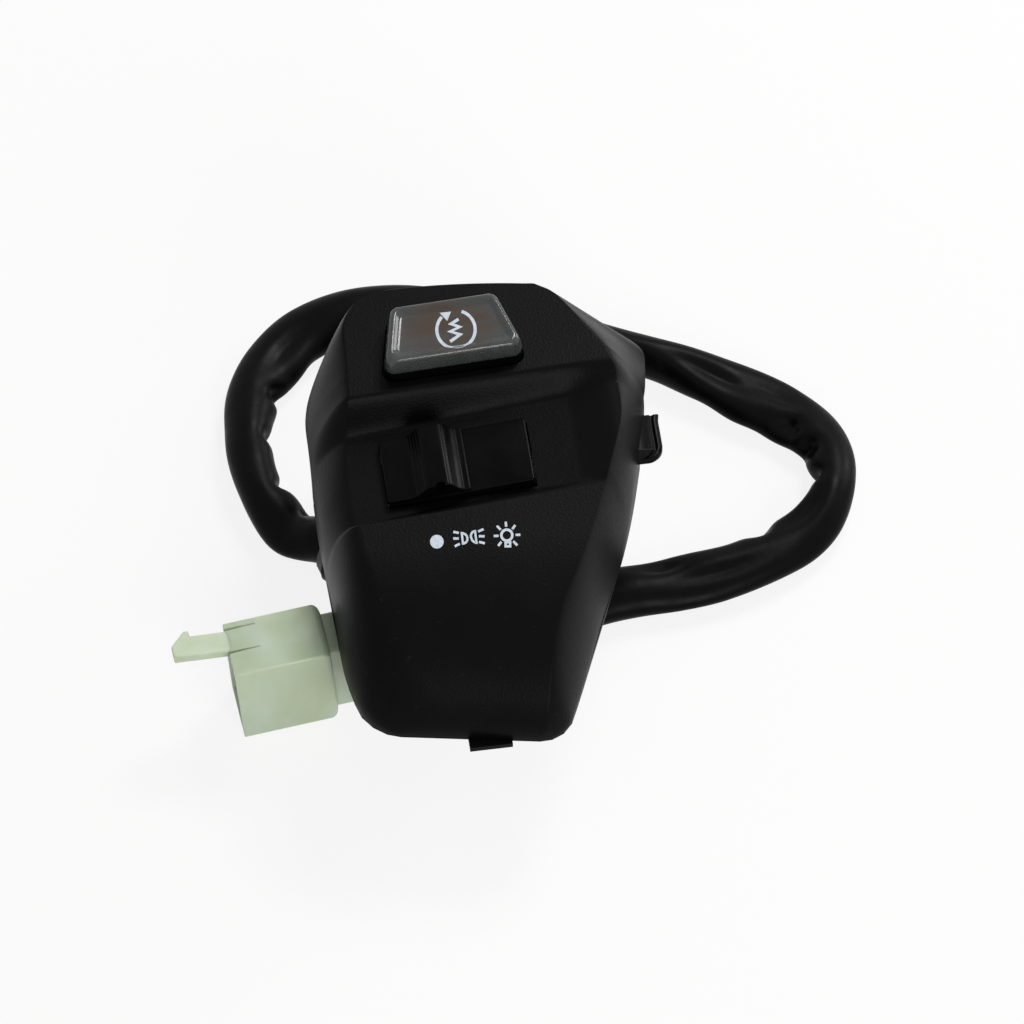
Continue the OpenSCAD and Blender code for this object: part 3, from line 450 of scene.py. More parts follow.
def seen_share(tree, share):
    """Share of a white glow that the camera, reflections and see-through pieces get, and no other light."""
    seen = add(tree, "LightPath")
    both = add(tree, "Math", {"operation": "ADD"},
               {0: seen.outputs["Is Camera Ray"], 1: seen.outputs["Is Glossy Ray"]})
    any_of = add(tree, "Math", {"operation": "ADD", "use_clamp": True},
                 {0: both, 1: seen.outputs["Is Transmission Ray"]})
    return add(tree, "Math", {"operation": "MULTIPLY", 1: share}, {0: any_of})


def set_stage():
    """White floor under the part, a white surround to the eye and a dim one as light."""
    corners = [(x * FLOOR_REACH, y * FLOOR_REACH, FLOOR_Z) for x, y in ((-1, -1), (1, -1), (1, 1), (-1, 1))]
    mesh = mesh_of("studio_floor", corners, [(0, 1, 2, 3)])
    floor = placed("studio_floor", mesh)
    made, tree = new_material("studio_paper")[:2]
    paper = add(tree, "BsdfDiffuse", {"Color": linear("#f2f2f0")})
    glow = add(tree, "Emission", {"Color": linear("#ffffff"), "Strength": 1.0})
    mix = add(tree, "MixShader", None, {0: seen_share(tree, FLOOR_GLOW), 1: paper, 2: glow})
    mesh.materials.append(surfaced(made, mix))
    world = bpy.data.worlds.new("studio_surround")
    bpy.context.scene.world = world
    world.use_nodes = True
    tree = world.node_tree
    tree.nodes.clear()
    soft = add(tree, "Background", {"Color": linear("#ffffff"), "Strength": 0.25})
    white = add(tree, "Background", {"Color": linear("#ffffff"), "Strength": 1.0})
    mix = add(tree, "MixShader", None, {0: seen_share(tree, 1.0), 1: soft, 2: white})
    add(tree, "OutputWorld", None, {"Surface": mix})
    for lamp in LAMPS:
        set_lamp(*lamp)
    bpy.context.scene.view_settings.view_transform = "Standard"


set_camera()
set_stage()


# Housing, as in the part's source: reaches, corner radii and heights in mm
BODY_TOP, BODY_BOTTOM = 21.6, 74.0
LEFT_REACH, RIGHT_REACH = 34.0, 36.0
CORNER_TL, CORNER_TR, CORNER_BL, CORNER_BR, DECK_CORNER = 16.0, 9.2, 6.4, 5.0, 10.0
TOP_SLANT, LOW_SLANT = 0.138, 0.18
SLANT_LOW, SLANT_TOP = -30, 4
BOW_LEFT, BOW_RIGHT, BOW_LESS, BOW_GROW = -17, 12, 0.043, 0.00325
DECK_H, VALLEY_H, VALLEY_LEAN, LEDGE_H, LEDGE_FALL, BANK_H = 25.0, 18.8, 4.0, 21.3, 0.06, 2.0
CREASE_Y, CREASE_W, LEDGE_Y, LEDGE_W, DOME_Y, TOP_ROUND = -6.2, 5.4, -30.2, 3.0, 40.0, 2.5
CREASE_TILT, LEDGE_TILT, BANK_X, BANK_W = 0.05, 0.07, 17, 9
DECK_SIGHT = 0.86 * TOP_ROUND
WIN_X, WIN_Y, WIN_Z = -6.6, -20.2, 26.3
FOOT_LOW, FOOT_RISE, FOOT_Y, FOOT_W = 0.8, 5.6, -34, 14
FLANK_FORM, FLANK_W, WALL_ROUND, WALL_Y, WALL_W = 1.3, 14, 0.9, -4, 40
RIGHT_RIM = [(-1, 0.205), (-0.84, 0.342), (-0.63, 0.522), (-0.473, 0.67), (-0.346, 0.764), (-0.194, 0.853),
             (-0.02, 0.935), (0.41, 0.978), (0.8, 0.98), (1, 0.97)]
LEFT_RIM = [(-1, 0.913), (-0.8, 0.986), (-0.55, 0.997), (-0.3, 1.014), (-0.1, 1.006), (0.2, 0.991),
            (0.6, 0.915), (1, 0.81)]
LEFT_EDGE = [(-1, 0.45), (-0.8, 0.68), (-0.57, 0.79), (-0.44, 0.82), (-0.19, 0.82), (-0.03, 0.765),
             (0.65, 0.735), (1, 0.7)]
RIGHT_EDGE = [(-1, 0.1), (-0.75, 0.25), (-0.58, 0.44), (-0.44, 0.57), (-0.3, 0.686), (-0.2, 0.75),
              (-0.07, 0.758), (0, 0.73), (0.27, 0.64), (0.63, 0.54), (0.8, 0.475), (0.9, 0.385), (1, 0.32)]
# How far the face's edges stay inside the rims, and the share of an inset that moves them in
EDGE_GAP, EDGE_INSET = 0.4, 0.8
# Rows of the skin in its dome, middle and top, and columns in a wall and the face
SKIN_COUNTS = (40, 190, 12, 26, 110)


def ease(t):
    """Smooth step: three squares less two cubes, held between 0 and 1."""
    c = np.clip(t, 0, 1)
    return c * c * (3 - 2 * c)


def curve(keys, t):
    """Cubic through keyed values, with each key's slope taken from its two neighbours."""
    k = np.array(keys, float)
    n = len(k)
    before, after = np.maximum(np.arange(n) - 1, 0), np.minimum(np.arange(n) + 1, n - 1)
    rise = (k[after, 1] - k[before, 1]) / (k[after, 0] - k[before, 0])
    i = np.clip(np.searchsorted(k[:, 0], t, side="right") - 1, 0, n - 2)
    h = k[i + 1, 0] - k[i, 0]
    u = np.clip((t - k[i, 0]) / h, 0, 1)
    return (k[i, 1] * (1 + 2 * u) * (1 - u) ** 2 + rise[i] * h * u * (1 - u) ** 2
            + k[i + 1, 1] * u * u * (3 - 2 * u) - rise[i + 1] * h * u * u * (1 - u))


def pull(r, d):
    """How far a round corner of radius r pulls an edge in at a distance d from the end."""
    return np.where(d >= r, 0, r - np.sqrt(np.maximum(0, r * r - (r - np.maximum(d, 0)) ** 2)))


def share(y, inset):
    """Place along the housing, -1 at its bottom and 1 at its top."""
    return np.where(y < 0, y / (BODY_BOTTOM - inset), y / (BODY_TOP - inset))


def rim(y, inset, reach, keys, top_corner, low_corner):
    """Reach of a rim: the keyed sweep, drawn in by a round corner at each end."""
    return (reach * curve(keys, share(y, inset)) - inset
            - pull(max(top_corner - inset, 1), BODY_TOP - inset - y)
            - pull(max(low_corner - inset, 1), y + BODY_BOTTOM - inset))


def rim_left(y, inset):
    """Left rim of the housing."""
    return -rim(y, inset, LEFT_REACH, LEFT_RIM, CORNER_TL, CORNER_BL)


def rim_right(y, inset):
    """Right rim of the housing."""
    return rim(y, inset, RIGHT_REACH, RIGHT_RIM, CORNER_TR, CORNER_BR)


def edge_left(y, inset):
    """Left edge of the face, which turns in round the deck's corner."""
    edge = LEFT_REACH * curve(LEFT_EDGE, share(y, inset)) - EDGE_INSET * inset
    turned = edge - pull(max(DECK_CORNER - inset, 1), BODY_TOP - inset - DECK_SIGHT - y)
    return np.maximum(rim_left(y, inset) + EDGE_GAP, -turned)


def edge_right(y, inset):
    """Right edge of the face, along the flank's ridge."""
    edge = RIGHT_REACH * curve(RIGHT_EDGE, share(y, inset)) - EDGE_INSET * inset
    return np.minimum(rim_right(y, inset) - EDGE_GAP, edge)


def slant(x, y):
    """Shift of the two ends that sets them askew: in proportion to the width at the bottom, and bowed at
    the top, where the slope grows along the deck's width and is steady beyond it."""
    c = np.clip(x, BOW_LEFT, BOW_RIGHT)
    bow = (TOP_SLANT - BOW_LESS) * c + BOW_GROW * c * c + TOP_SLANT * (x - c)
    low = ease((SLANT_LOW - y) / (BODY_BOTTOM + SLANT_LOW))
    return -x * LOW_SLANT * low - bow * ease((y - SLANT_TOP) / (BODY_TOP - SLANT_TOP))


def face_height(x, y):
    """Height over the parting plane: valley, deck and lower face, eased into each other at the crease and
    the ledge."""
    lean = math.tan(math.radians(VALLEY_LEAN))
    valley = VALLEY_H + lean * (x - WIN_X) + BANK_H * ease((x - BANK_X) / BANK_W)
    deck = ease((y - CREASE_Y - CREASE_TILT * x) / CREASE_W + 0.5)
    low = ease((LEDGE_Y + LEDGE_TILT * x - y) / LEDGE_W + 0.5)
    ledge = LEDGE_H - LEDGE_FALL * np.maximum(0, LEDGE_Y - y)
    return valley * (1 - deck) * (1 - low) + DECK_H * deck + ledge * low


def end_share(y, inset):
    """Share of the height that is left: an elliptic dome at the bottom and a quarter round at the top."""
    dome = np.sqrt(np.maximum(0, 1 - (np.maximum(-DOME_Y - y, 0) / (BODY_BOTTOM - inset - DOME_Y)) ** 2))
    top = np.sqrt(np.maximum(0, 1 - (np.maximum(0, y - BODY_TOP + inset + TOP_ROUND) / TOP_ROUND) ** 2))
    return dome * top


def shell_grid(inset, dome_n, mid_n, top_n, wall_n, face_n):
    """Skin of the front shell as rows along the housing: an upright foot and a superellipse wall up to the
    face's left edge, flatter beside the deck, the face, and the like down from its right edge."""
    bottom, top = BODY_BOTTOM - inset, BODY_TOP - inset
    quarter = np.pi / 2
    y = np.r_[-DOME_Y - (bottom - DOME_Y) * np.cos(quarter * np.arange(dome_n) / dome_n),
              np.linspace(-DOME_Y, top - TOP_ROUND, mid_n + 1),
              top - TOP_ROUND + TOP_ROUND * np.sin(quarter * np.arange(1, top_n + 1) / top_n)][:, None]
    xl, el, er, xr = rim_left(y, inset), edge_left(y, inset), edge_right(y, inset), rim_right(y, inset)
    f = end_share(y, inset)
    rise = np.arange(wall_n)[None, :]
    a = quarter * np.maximum(rise - 1, 0) / (wall_n - 1)
    foot = FOOT_LOW + FOOT_RISE * ease((y - FOOT_Y) / FOOT_W)

    def wall(edge, rim_x, form, order):
        """One wall's places across and heights, in the order of the columns."""
        angle, bend = a[:, ::order], 2 / form
        high = foot + (face_height(edge, y) - inset - foot) * np.sin(angle) ** bend
        return edge + (rim_x - edge) * np.cos(angle) ** bend, np.where(rise[:, ::order] == 0, 0, high)

    left_x, left_h = wall(el, xl, FLANK_FORM + WALL_ROUND * ease((WALL_Y - y) / WALL_W), 1)
    right_x, right_h = wall(er, xr, FLANK_FORM - (FLANK_FORM - 1) * ease(y / FLANK_W), -1)
    mid_x = el + (er - el) * np.linspace(0, 1, face_n + 1)[None, :]
    x = np.hstack([left_x, mid_x, right_x])
    h = np.hstack([left_h, face_height(mid_x, y) - inset, right_h]) * f
    y = np.broadcast_to(y, x.shape)
    return np.stack([x, y + slant(x, y), PART_Z + h], axis=-1)


def shell_skin():
    """Closed shell: the outer and inner skins of equal grids, joined by a flat rim."""
    outer, inner = shell_grid(0, *SKIN_COUNTS), shell_grid(WALL, *SKIN_COUNTS)
    rows, cols = outer.shape[:2]
    half = rows * cols
    points = np.vstack([outer.reshape(-1, 3), inner.reshape(-1, 3)])
    under = [q[::-1] for q in grid_faces(rows, cols, False, half)]
    row = np.arange(rows - 1) * cols
    col = np.arange(cols - 1)
    last = (rows - 1) * cols
    side = np.stack([row, half + row, half + row + cols, row + cols], axis=1)
    end = np.stack([col, col + 1, half + col + 1, half + col], axis=1)
    edges = np.vstack([side[:, ::-1], side + cols - 1, end[:, ::-1], end + last])
    return points, grid_faces(rows, cols) + under + edges.tolist()


def prism(outline, low, high, to_space):
    """Straight prism over a plane outline between two levels, carried into space by a function."""
    flat = np.asarray(outline, float)
    n = len(flat)
    level = np.repeat([low, high], n)[:, None]
    points = to_space(np.hstack([np.vstack([flat, flat]), level]))
    j = np.arange(n)
    sides = np.stack([j, (j + 1) % n, n + (j + 1) % n, n + j], axis=1)
    return points, [list(range(n))[::-1], list(range(n, 2 * n))] + sides.tolist()


def rectangle(x0, x1, y0, y1):
    """Corners of a rectangle, counterclockwise."""
    return [(x0, y0), (x1, y0), (x1, y1), (x0, y1)]


def box_solid(x, y, z, to_space):
    """Straight box between three pairs of limits."""
    return prism(rectangle(*x, *y), *z, to_space)


def arc(centre, r, start, end, n):
    """Points on an arc, angles in degrees."""
    t = np.radians(np.linspace(start, end, n))
    return np.stack([centre[0] + r * np.cos(t), centre[1] + r * np.sin(t)], axis=1)


def circle(r, n):
    """Points round a circle."""
    return arc((0, 0), r, 0, 360, n + 1)[:-1]


def turned(u, v, angle):
    """Two coordinates after a turn in their plane."""
    c, s = math.cos(angle), math.sin(angle)
    return c * u - s * v, s * u + c * v


def carried(shape, to_space):
    """Rows of points carried into space by a function."""
    return to_space(shape.reshape(-1, 3)).reshape(shape.shape)


def along_bar(p):
    """Outline across the bar and level along it, to X, Y and Z."""
    return p[:, [2, 0, 1]]


def upright(p):
    """Outline in plan and level in height."""
    return p


SLIDER_LEAN = math.radians(7)


def on_slider(p):
    """From the slider's leaning frame to space: a turn about Y and a move to the window's middle."""
    x, z = turned(p[:, 0], p[:, 2], SLIDER_LEAN)
    return np.stack([x, p[:, 1], z], axis=1) + [WIN_X, WIN_Y, WIN_Z]


def carve(target, solids, angle=40):
    """Takes solids out of a piece one by one, keeps the result in its mesh, and shades it smooth with a
    crisp line past an angle."""
    for points, faces in solids:
        mesh = mesh_of("cutter", points, faces)
        tool = placed("cutter", mesh)
        step = target.modifiers.new("cut", "BOOLEAN")
        step.operation = "DIFFERENCE"
        step.solver = "EXACT"
        step.object = tool
        graph = bpy.context.evaluated_depsgraph_get()
        done = bpy.data.meshes.new_from_object(target.evaluated_get(graph))
        target.modifiers.clear()
        old = target.data
        target.data = done
        done.name = target.name
        bpy.data.meshes.remove(old)
        bpy.data.objects.remove(tool)
        bpy.data.meshes.remove(mesh)
    target.data.shade_smooth()
    target.data.set_sharp_from_angle(angle=math.radians(angle))


# Start cap: a trapezoid with round corners, its middle, its underside and the gap round it
START_X, START_Y = -4.7, 5.3
CAP_TOP_W, CAP_LOW_W, CAP_D, CAP_R = 22.6, 27.6, 14.0, 2.0
LENS_Z, CAP_GAP = 33.0, 0.5
CAP_TURN = math.radians(2.5)


def turned_cap(p):
    """Plane points about the cap's middle, turned with the cap and moved to its place."""
    return np.stack(turned(*p.T, CAP_TURN), axis=1) + [START_X, START_Y]


def cap_ring(inset, radius, n=12):
    """Cap outline moved in by an inset, its four corners rounded to a radius of their own: the right half,
    then the same mirrored."""
    low, top, half = CAP_LOW_W / 2 - CAP_R, CAP_TOP_W / 2 - CAP_R, CAP_D / 2 - CAP_R
    lean = math.atan2(low - top, 2 * half)
    grow = CAP_R - inset - radius
    reach = math.cos(lean) * low - math.sin(lean) * half + grow
    corner = [((reach - math.sin(lean) * y) / math.cos(lean), y) for y in (-half - grow, half + grow)]
    tilt = math.degrees(lean)
    right = np.vstack([arc(corner[0], radius, -90, tilt, n), arc(corner[1], radius, tilt, 90, n)])
    return turned_cap(np.vstack([right, right[::-1] * [-1, 1]]))


BAR_R, BAR_PASS_R = 11.1, 12.1
WIN_L, WIN_W = 29.8, 15.5
CLIP_Y, CLIP_L, CLIP_Z, CLIP_T = -10.5, 10.4, 11.6, 2.0
CLIP_LOW, CLIP_HIGH, CLIP_GAP = CLIP_Y - CLIP_L / 2, CLIP_Y + CLIP_L / 2, 0.05
# Each cut's run, past the wall on both sides
CAP_CUT, WIN_CUT, BAR_CUT, CLIP_CUT = (25, 45), (-6, 12), (-60, 60), (28, 40)

shell = piece("front_housing", *shell_skin(), ABS, nodes=["front_shell"], slot="shell_abs")
carve(shell, [prism(cap_ring(-CAP_GAP, CAP_R + CAP_GAP, 14), *CAP_CUT, upright),
              box_solid((-WIN_L / 2, WIN_L / 2), (-WIN_W / 2, WIN_W / 2), WIN_CUT, on_slider),
              prism(circle(BAR_PASS_R, 96), *BAR_CUT, along_bar),
              box_solid(CLIP_CUT, (CLIP_LOW, CLIP_HIGH),
                        (CLIP_Z - CLIP_GAP, CLIP_Z + CLIP_T + CLIP_GAP), upright)], 38)


def join(parts):
    """One mesh from several: points stacked, faces shifted by the points before them."""
    points, faces, start = [], [], 0
    for p, f in parts:
        points.append(p)
        faces += [[start + k for k in q] for q in f]
        start += len(p)
    return np.vstack(points), faces


def stacked(outlines, levels, to_space):
    """Closed skin over plane outlines of equal count at their levels."""
    flat = np.stack(outlines)
    level = np.broadcast_to(np.asarray(levels, float)[:, None, None], flat.shape[:2] + (1,))
    shape = np.concatenate([flat, level], axis=2)
    return rings(carried(shape, to_space))


# Ribs and webs inside the front housing that rest on the bar, as in the part's source. Each web: its place,
# and how far it ends from the right rim
RIB_T, CLAMP_L, RIB_TOP, WEB_TOP, WEB_T, WEB_LEFT, RIB_LAP = 3.0, 40.0, 14.0, 18.5, 1.5, 2.9, 0.1
WEBS = [(13.0, 7.6), (-12.8, 3.5)]


def saddle_ribs():
    """Two cross ribs with the bar's arc cut out of their lower edge, and two webs along the bar."""
    side = math.degrees(math.asin(PART_Z / BAR_R))
    high, low = [y + RIB_LAP for y, gap in WEBS]
    rib = np.vstack([arc((0, 0), BAR_R, side, 180 - side, 40),
                     [(low, PART_Z), (low, RIB_TOP), (high, RIB_TOP), (high, PART_Z)]])
    half = CLAMP_L / 2
    parts = [prism(rib, s, s + RIB_T, along_bar) for s in (-half, half - RIB_T)]
    for y, gap in WEBS:
        reach = (rim_left(y, 0) + WEB_LEFT, rim_right(y, 0) - gap)
        parts.append(box_solid(reach, (y, y + WEB_T), (PART_Z, WEB_TOP), upright))
    return join(parts)


piece("housing_ribs", *saddle_ribs(), ABS, slot="shell_abs")


# Lens from the hollow over the legend plate, round the rim, to the dished face: inset, corner radius, height
LENS_PROFILE = [(1.75, 0.6, 0.92), (1.75, 0.6, 0.0), (0.1, 1.9, 0.0), (0.0, 2.0, 0.12), (0.0, 2.0, 1.1),
                (0.12, 2.0, 2.0), (0.3, 1.9, 2.9), (0.42, 1.9, 3.35), (0.6, 1.9, 3.68), (0.86, 1.8, 3.9),
                (1.15, 1.7, 4.0), (1.45, 1.6, 3.98), (1.7, 1.5, 3.88), (1.95, 1.4, 3.68), (2.25, 1.2, 3.45),
                (2.55, 1.0, 3.32), (2.9, 0.8, 3.28), (4.2, 0.6, 3.26)]
LENS_FACE = LENS_Z + LENS_PROFILE[-1][2]
DISH_START = 10

lens_rings = [cap_ring(inset, radius) for inset, radius, height in LENS_PROFILE]
lens_levels = [LENS_Z + height for inset, radius, height in LENS_PROFILE]
piece("start_cap_lens", *stacked(lens_rings, lens_levels, upright), SMOKE, "start_button", ["start_lens"],
      "smoke_acrylic", 50)


def in_plan(p, centre, fall):
    """Plan places of points given across and up the photograph, in mm, about a centre, on a surface that
    shows a share of its length."""
    away = p[:, 1:2] / fall * [math.sin(AZIMUTH), math.cos(AZIMUTH)]
    return np.array(centre) + p[:, :1] * CAM_RIGHT[:2] + away


def on_cap(p):
    """Carries the start symbol onto a level plane at the cap's face."""
    return np.hstack([in_plan(p, SYMBOL_AT, math.sin(ELEVATION)), LENS_FACE + p[:, 2:]])


INK_T = 0.05


def stroke(points, width, to_space, closed=False):
    """Printed line: a flat bar of a given width along points, mitred at its bends, as thick as the ink."""
    p = np.asarray(points, float)
    ahead, behind = np.roll(p, -1, axis=0) - p, p - np.roll(p, 1, axis=0)
    if not closed:
        ahead[-1], behind[0] = behind[-1], ahead[0]
    ahead /= np.linalg.norm(ahead, axis=1)[:, None]
    behind /= np.linalg.norm(behind, axis=1)[:, None]
    mid = ahead + behind
    mid /= np.linalg.norm(mid, axis=1)[:, None]
    wide = width / 2 / np.maximum((mid * ahead).sum(1), 0.5)
    out = np.stack([-mid[:, 1], mid[:, 0]], axis=1) * wide[:, None]
    edges = np.stack([p - out, p + out, p + out, p - out], axis=1)
    high = np.broadcast_to(np.array([0, 0, INK_T, INK_T])[None, :, None], edges.shape[:2] + (1,))
    sections = np.concatenate([edges, high], axis=2)
    if closed:
        faces = [[k % (4 * len(p)) for k in q] for q in grid_faces(len(p) + 1, 4, True)]
        return to_space(sections.reshape(-1, 3)), faces
    return rings(carried(sections, to_space))


# Start symbol: an open ring that ends in an arrow head, and a jagged bolt
SYMBOL_AT = (-3.3, 4.55)
SYMBOL_R, SYMBOL_FROM, SYMBOL_TO, SYMBOL_PEN = 3.8, 73, -222, 0.62
BOLT = [(0.5, 2.1), (-1.0, 1.15), (0.75, 0.55), (-1.15, -0.35), (0.85, -0.95), (-1.15, -2.4)]
ARROW = [(-3.25, 3.35), (-1.0, 3.6), (-1.75, 1.75)]


def on_lens(points):
    """Lifts printed points with the dish of the cap: its height at their distance from the long edges."""
    inset, radius, height = np.array(LENS_PROFILE)[DISH_START:].T
    along, across = turned(points[:, 0] - START_X, points[:, 1] - START_Y, -CAP_TURN)
    lift = np.interp(CAP_D / 2 - np.abs(across), inset, height) + LENS_Z - LENS_FACE
    return points + lift[:, None] * [0, 0, 1]


def start_symbol():
    """The symbol's strokes, laid on the dished face of the cap."""
    ring = arc((0, 0), SYMBOL_R, SYMBOL_FROM, SYMBOL_TO, 70)
    points, faces = join([stroke(ring, SYMBOL_PEN, on_cap), stroke(BOLT, SYMBOL_PEN, on_cap),
                          prism(ARROW[::-1], 0, INK_T, on_cap)])
    return on_lens(points), faces


piece("start_symbol_print", *start_symbol(), INK, "start_button", slot="smoke_acrylic", sharp=40)


# Return spring of the start button, between the guide and the plunger's flange
SPRING_LOW, SPRING_HIGH, SPRING_R, SPRING_WIRE, SPRING_TURNS = 21.1, 27.3, 4.4, 0.4, 3


def return_coil():
    """A round wire carried along a helix: the height grows in proportion to the turn."""
    turn = np.linspace(0, 2 * np.pi * SPRING_TURNS, 40 * SPRING_TURNS + 1)
    rise = np.linspace(SPRING_LOW + SPRING_WIRE, SPRING_HIGH - SPRING_WIRE, turn.size)
    path = np.stack([START_X + SPRING_R * np.cos(turn), START_Y + SPRING_R * np.sin(turn), rise], axis=1)
    return tube(path, SPRING_WIRE, 10)


coil = piece("start_return_coil", *return_coil(), STEEL, nodes=["start_spring"], sharp=60)
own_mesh(coil)


# Slider knob in its leaning frame: run from the window's left end, and height over the fixed plate
KNOB_X, KNOB_L, KNOB_HALF, SLIDE_GAP, KNOB_ROUND = -14.65, 16.6, 7.5, 0.1, 0.3
KNOB_TOP = [(0, 1.0), (0.25, 1.2), (2.8, 1.2), (5.2, 1.22), (6.2, 1.7), (8.0, 3.3), (8.8, 3.7), (10.7, 3.8),
            (12.4, 3.7), (13.1, 3.2), (14.2, 1.75), (15.1, 1.0), (15.6, 0.88), (16.2, 0.9), (16.45, 0.84),
            (16.6, 0.65)]
GRIP_FROM, GRIP_TO, GRIP_PITCH, GRIP_H, NOTCH_X, NOTCH_R = 5.6, 8.6, 0.6, 0.05, 10.8, 0.9
PIN_IN, PIN_L, SLOT_W, SLOT_GAP, PLATE_T, SLIDE_RANGE, WIN_GAP = 0.5, 2.8, 5.0, 0.15, 3.2, 12.6, 0.25
# The plate from its underside over the bevel at its top: inset, corner radius and level
PLATE_EDGE = [(0, 0.5, -PLATE_T), (0, 0.5, -0.3), (0.05, 0.5, -0.12), (0.15, 0.5, -0.03), (0.3, 0.5, 0)]
PIN_Z, SLOT_CUT, NOTCH_CUT = (-PLATE_T - 0.2, 0.6), (-PLATE_T - 1, 1), (1.2, 10)


def knob_skin():
    """Knob: its profile along the travel carried across, with fine grip ribs on the slope, drawn in by a
    quarter round at each flank."""
    x = np.linspace(0, KNOB_L, 200)
    ribbed = ease((x - GRIP_FROM) / GRIP_PITCH) * ease((GRIP_TO - x) / GRIP_PITCH)
    top = curve(KNOB_TOP, x) + GRIP_H * np.sin(2 * np.pi * x / GRIP_PITCH) * ribbed
    turn = np.linspace(0, np.pi / 2, 6)
    off, inset = KNOB_ROUND * (1 - np.cos(turn)), KNOB_ROUND * (1 - np.sin(turn))
    y = np.r_[off - KNOB_HALF, KNOB_HALF - off[::-1]][:, None]
    inset = np.r_[inset, inset[::-1]][:, None]
    along = KNOB_X + np.clip(x[None, :], inset, KNOB_L - inset)
    high = np.maximum(top[None, :] - inset, SLIDE_GAP + 0.05)
    low = np.full_like(high, SLIDE_GAP)
    shape = np.stack([np.hstack([along, along[:, ::-1]]), np.broadcast_to(y, (len(y), 2 * len(x))),
                      np.hstack([high, low])], axis=-1)
    return rings(carried(shape, on_slider))


knob = piece("lighting_slider_knob", *knob_skin(), GLOSS, "light_slider", ["light_knob"], "gloss_black", 40)
carve(knob, [prism(circle(NOTCH_R, 32) + [KNOB_X + NOTCH_X, -KNOB_HALF], *NOTCH_CUT, on_slider)])
pin_x, pin_y = (KNOB_X + PIN_IN, KNOB_X + PIN_IN + PIN_L), (SLIDE_GAP - SLOT_W / 2, SLOT_W / 2 - SLIDE_GAP)
piece("lighting_slider_pin", *box_solid(pin_x, pin_y, PIN_Z, on_slider), GLOSS, "light_slider",
      slot="gloss_black")


def rounded(x0, x1, y0, y1, r):
    """Rectangle with round corners, counterclockwise."""
    corners = [(x1 - r, y0 + r, -90), (x1 - r, y1 - r, 0), (x0 + r, y1 - r, 90), (x0 + r, y0 + r, 180)]
    return np.vstack([arc((x, y), r, a, a + 90, 8) for x, y, a in corners])


def nested(x, y, steps):
    """Round-cornered outlines, drawn in from two pairs of limits by each step's inset."""
    return [rounded(x[0] + i, x[1] - i, y[0] + i, y[1] - i, r) for i, r, level in steps]


def levels_of(steps):
    """The level of each step, its last number."""
    return [step[-1] for step in steps]


far, near = WIN_L / 2 - WIN_GAP, WIN_W / 2 - WIN_GAP
plate_skin = stacked(nested((-far, far), (-near, near), PLATE_EDGE), levels_of(PLATE_EDGE), on_slider)
plate = piece("slider_track_plate", *plate_skin, GLOSS, nodes=["light_slide_plate"], slot="gloss_black")
slot_x = (pin_x[0] - SLOT_GAP, pin_x[1] + SLIDE_RANGE + SLOT_GAP)
carve(plate, [box_solid(slot_x, (-SLOT_W / 2, SLOT_W / 2), SLOT_CUT, on_slider)])


# Side tab: where it ends in the housing and at its lip, the lip's round and hook, and its section from the
# lip's underside back over the groove: run from the lip, height over the underside
CLIP_ROOT, CLIP_LIP, CLIP_ROUND, CLIP_HOOK = 28.2, 35.7, 3.0, 0.3
CLIP_SECTION = [(-0.25, 0.0), (0, 0.25), (0, 1.6), (-0.25, 1.9), (-0.9, 1.95), (-1.2, 1.6), (-1.7, 1.6),
                (-2.0, 1.95)]


def clip_skin():
    """Side tab: a section with one groove along its outer lip, carried along the flank; the lip draws in
    round the lower end and hooks out a little at the upper one."""
    y = np.r_[CLIP_LOW + CLIP_ROUND * (1 - np.cos(np.linspace(0.05, np.pi / 2, 14))),
              np.linspace(CLIP_LOW + CLIP_ROUND + 0.3, CLIP_HIGH, 12)]
    lip = CLIP_LIP - pull(CLIP_ROUND, y - CLIP_LOW) + CLIP_HOOK * ease((y - CLIP_Y - 3.5) / 2)
    edges = [(lip + dx, dz) for dx, dz in CLIP_SECTION]
    edges += [(np.full_like(y, CLIP_ROOT), dz) for dz in (CLIP_T, 0)]
    lines = [np.stack([x, y, np.full_like(y, CLIP_Z + dz)], axis=1) for x, dz in edges]
    return rings(np.stack(lines, axis=1))


piece("side_tab", *clip_skin(), GLOSS, nodes=["side_clip"], slot="gloss_black", sharp=50)


# Marks on the lower face, across and up the photograph from their middle
MARKS_AT = (-5.5, -39.1)
MARKS_FALL = 0.853
LAMP_D = [((-2.7, 0.8), (-2.46, -1.24), (-1.58, -0.2)), ((0.22, -1.08), (-0.08, 1.2), (-0.88, 0.06))]
RAYS = [((-4.36, 1.04), (-3.28, 0.84)), ((-4.36, -0.26), (-3.28, -0.26)), ((-4.08, -1.8), (-3.08, -1.28)),
        ((0.54, 1.14), (1.6, 1.6)), ((0.68, 0.2), (1.8, 0.2)), ((0.7, -0.9), (1.84, -1.18)),
        ((5.96, 3.08), (6.06, 2.08)), ((4.22, 2.28), (4.96, 1.48)), ((7.84, 2.42), (7.24, 1.6)),
        ((3.62, 0.26), (4.56, 0.3)), ((7.9, 0.48), (8.84, 0.52)), ((5.1, -0.86), (4.48, -1.68)),
        ((7.44, -0.74), (8.24, -1.54))]
OFF_AT, OFF_R, BULB_AT, BULB_R, BULB_CAP = [-7.6, -0.9], 1.34, [6.18, 0.44], 1.08, (5.95, 6.85, -0.95, -1.72)
LAMP_PEN, RAY_PEN, BULB_PEN = 0.42, 0.46, 0.5


def on_face(p):
    """Carries marks onto the lower face: a few steps find the row under the slant, and the height there."""
    x, y = in_plan(p, MARKS_AT, MARKS_FALL).T
    row = y
    for step in range(3):
        row = y - slant(x, row)
    return np.stack([x, y, PART_Z + face_height(x, row) * end_share(row, 0) + p[:, 2]], axis=1)


